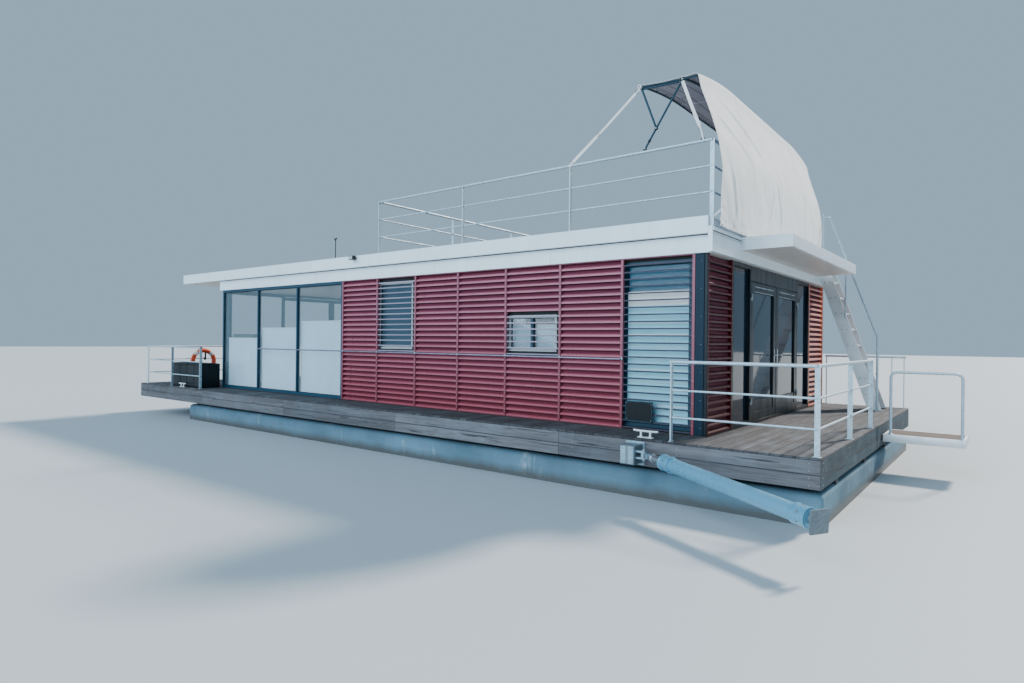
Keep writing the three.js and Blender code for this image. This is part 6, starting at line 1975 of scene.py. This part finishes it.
class HOUSEBOAT_OT_locker(bpy.types.Operator):
    """Deck locker of panelled plastic with a hinged lid"""
    bl_idname = "houseboat.locker"
    bl_label = "Locker"

    def execute(self, context):
        (x0, x1), (y0, y1) = LOCKER["x"], LOCKER["y"]
        top = DECK + LOCKER["height"]
        form = Form("locker_plastic")
        skirt, thick = 0.015, 0.018
        a, b, c, d = x0 + skirt, x1 - skirt, y0 + skirt, y1 - skirt
        form.block((a, c, DECK + 0.0004), (b, d, DECK + 0.022), 0.004)
        for lo, hi in (((a, c), (b, c + thick)), ((a, d - thick), (b, d)), ((a, c), (a + thick, d)),
                       ((b - thick, c), (b, d))):
            form.block((*lo, DECK + 0.0006), (*hi, top - 0.001), 0.003)
        for x in evenly(a + 0.006, b - 0.006, 5):
            for y, side in ((c, -1), (d, 1)):
                form.block((x - 0.022, y - side * 0.004, DECK + 0.002),
                           (x + 0.022, y + side * 0.008, top - 0.002), 0.006)
        for y in evenly(c + 0.020, d - 0.020, 3):
            for x, side in ((a, -1), (b, 1)):
                form.block((x - side * 0.004, y - 0.022, DECK + 0.002),
                           (x + side * 0.008, y + 0.022, top - 0.002), 0.006)
        for y, side in ((c, -1), (d, 1)):
            for z in evenly(DECK + 0.05, top - 0.05, 6):
                form.block((a, y - side * 0.004, z - 0.028), (b, y + side * 0.0035, z + 0.028), 0.004)
        self.hinges(form, False)
        form.build("locker_box", "boat", "black", ["locker"])
        lid = Form("locker_plastic", 0.7)
        z0, z1 = top + 0.0003, top + LOCKER["lid"]
        lid.block((x0, y0, z0), (x1, y1, z1 - 0.008), 0.006)
        lid.block((x0 + 0.020, y0 + 0.020, z1 - 0.012), (x1 - 0.020, y1 - 0.020, z1), 0.006)
        for i in range(14):
            x = x0 + 0.075 + i * 0.1005
            lid.block((x, y0 + 0.045, z1 - 0.003), (x + 0.062, y1 - 0.045, z1 + 0.003), 0.003)
        lid.use("black_plastic")
        middle = (x0 + x1) / 2
        lid.block((middle - 0.090, y0 - 0.014, z0 + 0.004), (middle + 0.090, y0 + 0.004, z1 - 0.010), 0.006)
        self.hinges(lid, True)
        lid.build("locker_cover", "lid", "black", ["locker_lid"])
        return {"FINISHED"}

    def hinges(self, form, on_lid):
        (x0, x1), (_, back) = LOCKER["x"], LOCKER["y"]
        y, z = back + 0.012, DECK + LOCKER["height"] + 0.020
        form.use("plug_plastic")
        for x in (x0 + 0.250, x1 - 0.250):
            if on_lid:
                form.block((x + 0.0005, back - 0.010, z - 0.008), (x + 0.0595, y, z + 0.008))
                form.turned([(0.0095, 0.0005), (0.010, 0.002), (0.010, 0.058), (0.0095, 0.0595)], (x, y, z),
                            X, 20)
            else:
                form.block((x - 0.060, back - 0.020, z - 0.060), (x - 0.0005, y + 0.008, z - 0.022), 0.003)
                form.block((x - 0.060, y - 0.007, z - 0.060), (x - 0.0005, y + 0.008, z))
                form.turned([(0.0095, -0.060), (0.010, -0.058), (0.010, -0.003), (0.0095, -0.001)], (x, y, z),
                            X, 20)


class HOUSEBOAT_OT_lifebuoy(bpy.types.Operator):
    """Lifebuoy with four bands and its grab line, on a hook over the rail"""
    bl_idname = "houseboat.lifebuoy"
    bl_label = "Lifebuoy"

    def execute(self, context):
        centre = Vector((-9.352, -2.130, 2.180))
        ring, wide, deep = 0.300, 0.068, 0.050
        bands = [math.radians(a) for a in (45, 135, 225, 315)]
        half_band = math.radians(11)
        form = Form()
        steps = 96

        def cut(angle, grow):
            middle = centre + Vector((0, math.cos(angle) * ring, math.sin(angle) * ring))
            out = Vector((0, math.cos(angle), math.sin(angle)))
            return [middle + out * (math.cos(t) * (wide + grow)) + Vector((math.sin(t) * (deep + grow), 0, 0))
                    for t in circle(24)]

        form.use("buoy_shell")
        form.rings([cut(2 * math.pi * i / steps, -0.0015) for i in range(steps)], closed=True)
        form.use("buoy_band")
        for band in bands:
            angles = [band + half_band * (i / 6 - 1) for i in range(13)]
            rings = [cut(angles[0], -0.003)] + [cut(a, 0.0) for a in angles] + [cut(angles[-1], -0.003)]
            form.rings(rings, caps=False)
        form.use("buoy_rope")
        for a, b in zip(bands, bands[1:] + [bands[0] + 2 * math.pi]):
            line = []
            for i in range(15):
                t = i / 14
                angle = a + (b - a) * t
                reach = ring + wide - 0.002 - 0.012 * math.sin(t * math.pi) ** 2
                line.append(centre + Vector((-0.010, math.cos(angle) * reach, math.sin(angle) * reach)))
            form.pipe(line, 0.0045, 8)
        form.use("black_plastic")
        rail = (-9.435, DECK + 0.645)
        y0, y1 = centre.y + 0.040, centre.y + 0.080
        form.block((rail[0] + 0.0135, y0, rail[1] - 0.040), (centre.x - 0.020, y1, rail[1] + 0.030), 0.004)
        form.block((rail[0] - 0.026, y0, rail[1] + 0.0135), (rail[0] + 0.033, y1, rail[1] + 0.030), 0.004)
        form.block((centre.x - 0.030, y0, rail[1] - 0.040), (centre.x, y1, centre.z + ring - 0.010), 0.004)
        form.build("lifebuoy_ring", "boat", "orange", ["lifebuoy"])
        return {"FINISHED"}


class HOUSEBOAT_OT_fittings(bpy.types.Operator):
    """Blank name board, sensor mast and spotlight"""
    bl_idname = "houseboat.fittings"
    bl_label = "Fittings"

    def execute(self, context):
        lo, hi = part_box("name_board")
        form = Form("board_face")
        form.block((lo.x + 0.004, lo.y + 0.003, lo.z + 0.004), (hi.x - 0.004, hi.y, hi.z - 0.004), 0.001)
        form.use("dark_paint")
        for a, b in (((lo.x, lo.z), (hi.x, lo.z + 0.010)), ((lo.x, hi.z - 0.010), (hi.x, hi.z)),
                     ((lo.x, lo.z), (lo.x + 0.010, hi.z)), ((hi.x - 0.010, lo.z), (hi.x, hi.z))):
            form.block((a[0], lo.y, a[1]), (b[0], hi.y - 0.001, b[1]))
        form.screws([(x, lo.y + 0.003, z) for x in (lo.x + 0.024, hi.x - 0.024)
                     for z in (lo.z + 0.024, hi.z - 0.024)], (0, -1, 0), 0.005)
        form.build("name_board_face", "boat", "black", ["name_board"])
        self.mast()
        self.lamp()
        return {"FINISHED"}

    def mast(self):
        x, y, bed, top = -2.395, -2.770, 4.4403, 4.960
        form = Form("black_plastic")
        form.block((x - 0.040, y - 0.040, bed), (x + 0.040, y + 0.040, bed + 0.010), 0.004)
        form.turned([(0.022, 0.010), (0.020, 0.040), (0.012, 0.050)], (x, y, bed), sides=20)
        form.pipe([(x, y, bed + 0.010), (x, y, top)], 0.009, 16)
        form.turned([(0.014, -0.030), (0.014, 0.000), (0.010, 0.006)], (x, y, top), sides=16)
        form.pipe([(x - 0.044, y, top + 0.010), (x + 0.044, y, top + 0.010)], 0.005, 12)
        for side in (-1, 1):
            form.turned([(0.010, -0.012), (0.012, -0.008), (0.012, 0.014), (0.006, 0.020)],
                        (x + side * 0.033, y, top + 0.010), sides=16)
        corners = ((-0.030, -0.030), (0.030, -0.030), (0.030, 0.030), (-0.030, 0.030))
        form.bolts([(x + dx, y + dy, bed + 0.009) for dx, dy in corners], UP, 0.004)
        form.build("sensor_mast_pole", "boat", "black", ["sensor_mast"])

    def lamp(self):
        face = -3.0703
        form = Form("black_plastic")
        form.block((-1.405, face - 0.008, 4.420), (-1.325, face, 4.490), 0.003)
        form.block((-1.375, -3.112, 4.448), (-1.355, face - 0.004, 4.462), 0.003)
        shell = rounded([(-3.176, 4.414), (-3.096, 4.414), (-3.096, 4.486), (-3.120, 4.498), (-3.176, 4.490)],
                        0.008, 4)
        form.prism(shell, "X", -1.425, -1.305)
        for i in range(6):
            x = -1.415 + i * 0.0186
            form.block((x, -3.100, 4.424), (x + 0.006, -3.090, 4.486))
        form.use("lamp_glass").block((-1.417, -3.1795, 4.422), (-1.313, -3.1755, 4.482))
        form.build("spotlight_lamp", "boat", "black", ["spotlight"])


# Stage

class HOUSEBOAT_OT_stage(bpy.types.Operator):
    """Pale floor at the waterline, soft light and the camera"""
    bl_idname = "houseboat.stage"
    bl_label = "Stage"

    def execute(self, context):
        stage = context.scene.houseboat_stage
        mesh = bpy.data.meshes.new("studio_floor")
        far = 140
        mesh.from_pydata([(-far, -far, WATERLINE), (far, -far, WATERLINE), (far, far, WATERLINE),
                          (-far, far, WATERLINE)], [], [(0, 1, 2, 3)])
        finish = Finish("studio_floor")
        cloud = finish.noise(0.12, 3)
        finish.give({"Base Color": finish.mix(cloud, scaled(stage.ground, 0.97), stage.ground),
                     "Roughness": 0.6})
        mesh.materials.append(finish.material)
        ground = bpy.data.objects.new("studio_floor", mesh)
        context.scene.collection.objects.link(ground)
        world = bpy.data.worlds.new("studio_sky")
        world.use_nodes = True
        soft = world.node_tree.nodes["Background"]
        soft.inputs["Color"].default_value = (*stage.sky, 1)
        soft.inputs["Strength"].default_value = stage.sky_strength
        context.scene.world = world
        for name, strength, spread, colour, source in (
                ("studio_key", stage.key_strength, 7, (1.0, 0.93, 0.84), (0.30, 1.0, 0.95)),
                ("studio_fill", stage.fill_strength, 60, (0.66, 0.85, 1.0), (-0.30, -0.9, 0.45))):
            light = bpy.data.lights.new(name, "SUN")
            light.energy = strength
            light.angle = math.radians(spread)
            light.color = colour
            lamp = bpy.data.objects.new(name, light)
            lamp.rotation_euler = Vector(source).to_track_quat("Z", "Y").to_euler()
            context.scene.collection.objects.link(lamp)
        self.camera(context, stage)
        return {"FINISHED"}

    def camera(self, context, stage):
        ahead = Vector((-math.sin(stage.heading) * math.cos(stage.pitch),
                        math.cos(stage.heading) * math.cos(stage.pitch), math.sin(stage.pitch)))
        right = ahead.cross(Vector(UP)).normalized()
        up = right.cross(ahead)
        c, s = math.cos(stage.roll), math.sin(stage.roll)
        across, above = right * c + up * s, up * c - right * s
        lens = bpy.data.cameras.new("photo_view")
        lens.lens = stage.lens
        lens.sensor_width = 36
        lens.clip_end = 500
        eye = bpy.data.objects.new("photo_view", lens)
        matrix = Matrix((across, above, -ahead)).transposed().to_4x4()
        matrix.translation = Vector(stage.place)
        eye.matrix_world = matrix
        context.scene.collection.objects.link(eye)
        context.scene.camera = eye


OPERATORS = (
    HOUSEBOAT_OT_pontoon, HOUSEBOAT_OT_deck, HOUSEBOAT_OT_cleats, HOUSEBOAT_OT_louvres, HOUSEBOAT_OT_windows,
    HOUSEBOAT_OT_lake_glazing, HOUSEBOAT_OT_boarding_doors, HOUSEBOAT_OT_roof, HOUSEBOAT_OT_awning,
    HOUSEBOAT_OT_deck_rails, HOUSEBOAT_OT_roof_rails, HOUSEBOAT_OT_grab_rails, HOUSEBOAT_OT_stair,
    HOUSEBOAT_OT_canopy_frame, HOUSEBOAT_OT_canopy_cloth, HOUSEBOAT_OT_mooring_arm, HOUSEBOAT_OT_gangway,
    HOUSEBOAT_OT_locker, HOUSEBOAT_OT_lifebuoy, HOUSEBOAT_OT_fittings, HOUSEBOAT_OT_stage,
)


class HOUSEBOAT_PT_pieces(bpy.types.Panel):
    """Sizes and colours of the houseboat, and a button for each group of pieces"""
    bl_idname = "HOUSEBOAT_PT_pieces"
    bl_label = "Houseboat"
    bl_space_type = "VIEW_3D"
    bl_region_type = "UI"
    bl_category = "Houseboat"

    def draw(self, context):
        for name, group in GROUPS.items():
            box = self.layout.box()
            box.label(text=name.removeprefix("houseboat_").capitalize())
            for value in group.__annotations__:
                box.prop(getattr(context.scene, name), value)
        column = self.layout.column(align=True)
        for operator in OPERATORS:
            column.operator(operator.bl_idname)


def register():
    for group in GROUPS.values():
        bpy.utils.register_class(group)
    for name, group in GROUPS.items():
        setattr(bpy.types.Scene, name, bpy.props.PointerProperty(type=group))
    for kind in (*OPERATORS, HOUSEBOAT_PT_pieces):
        bpy.utils.register_class(kind)


def unregister():
    for kind in (HOUSEBOAT_PT_pieces, *reversed(OPERATORS)):
        bpy.utils.unregister_class(kind)
    for name, group in GROUPS.items():
        delattr(bpy.types.Scene, name)
        bpy.utils.unregister_class(group)


def main():
    register()
    for operator in OPERATORS:
        group, name = operator.bl_idname.split(".")
        getattr(getattr(bpy.ops, group), name)()


if __name__ == "__main__":
    main()
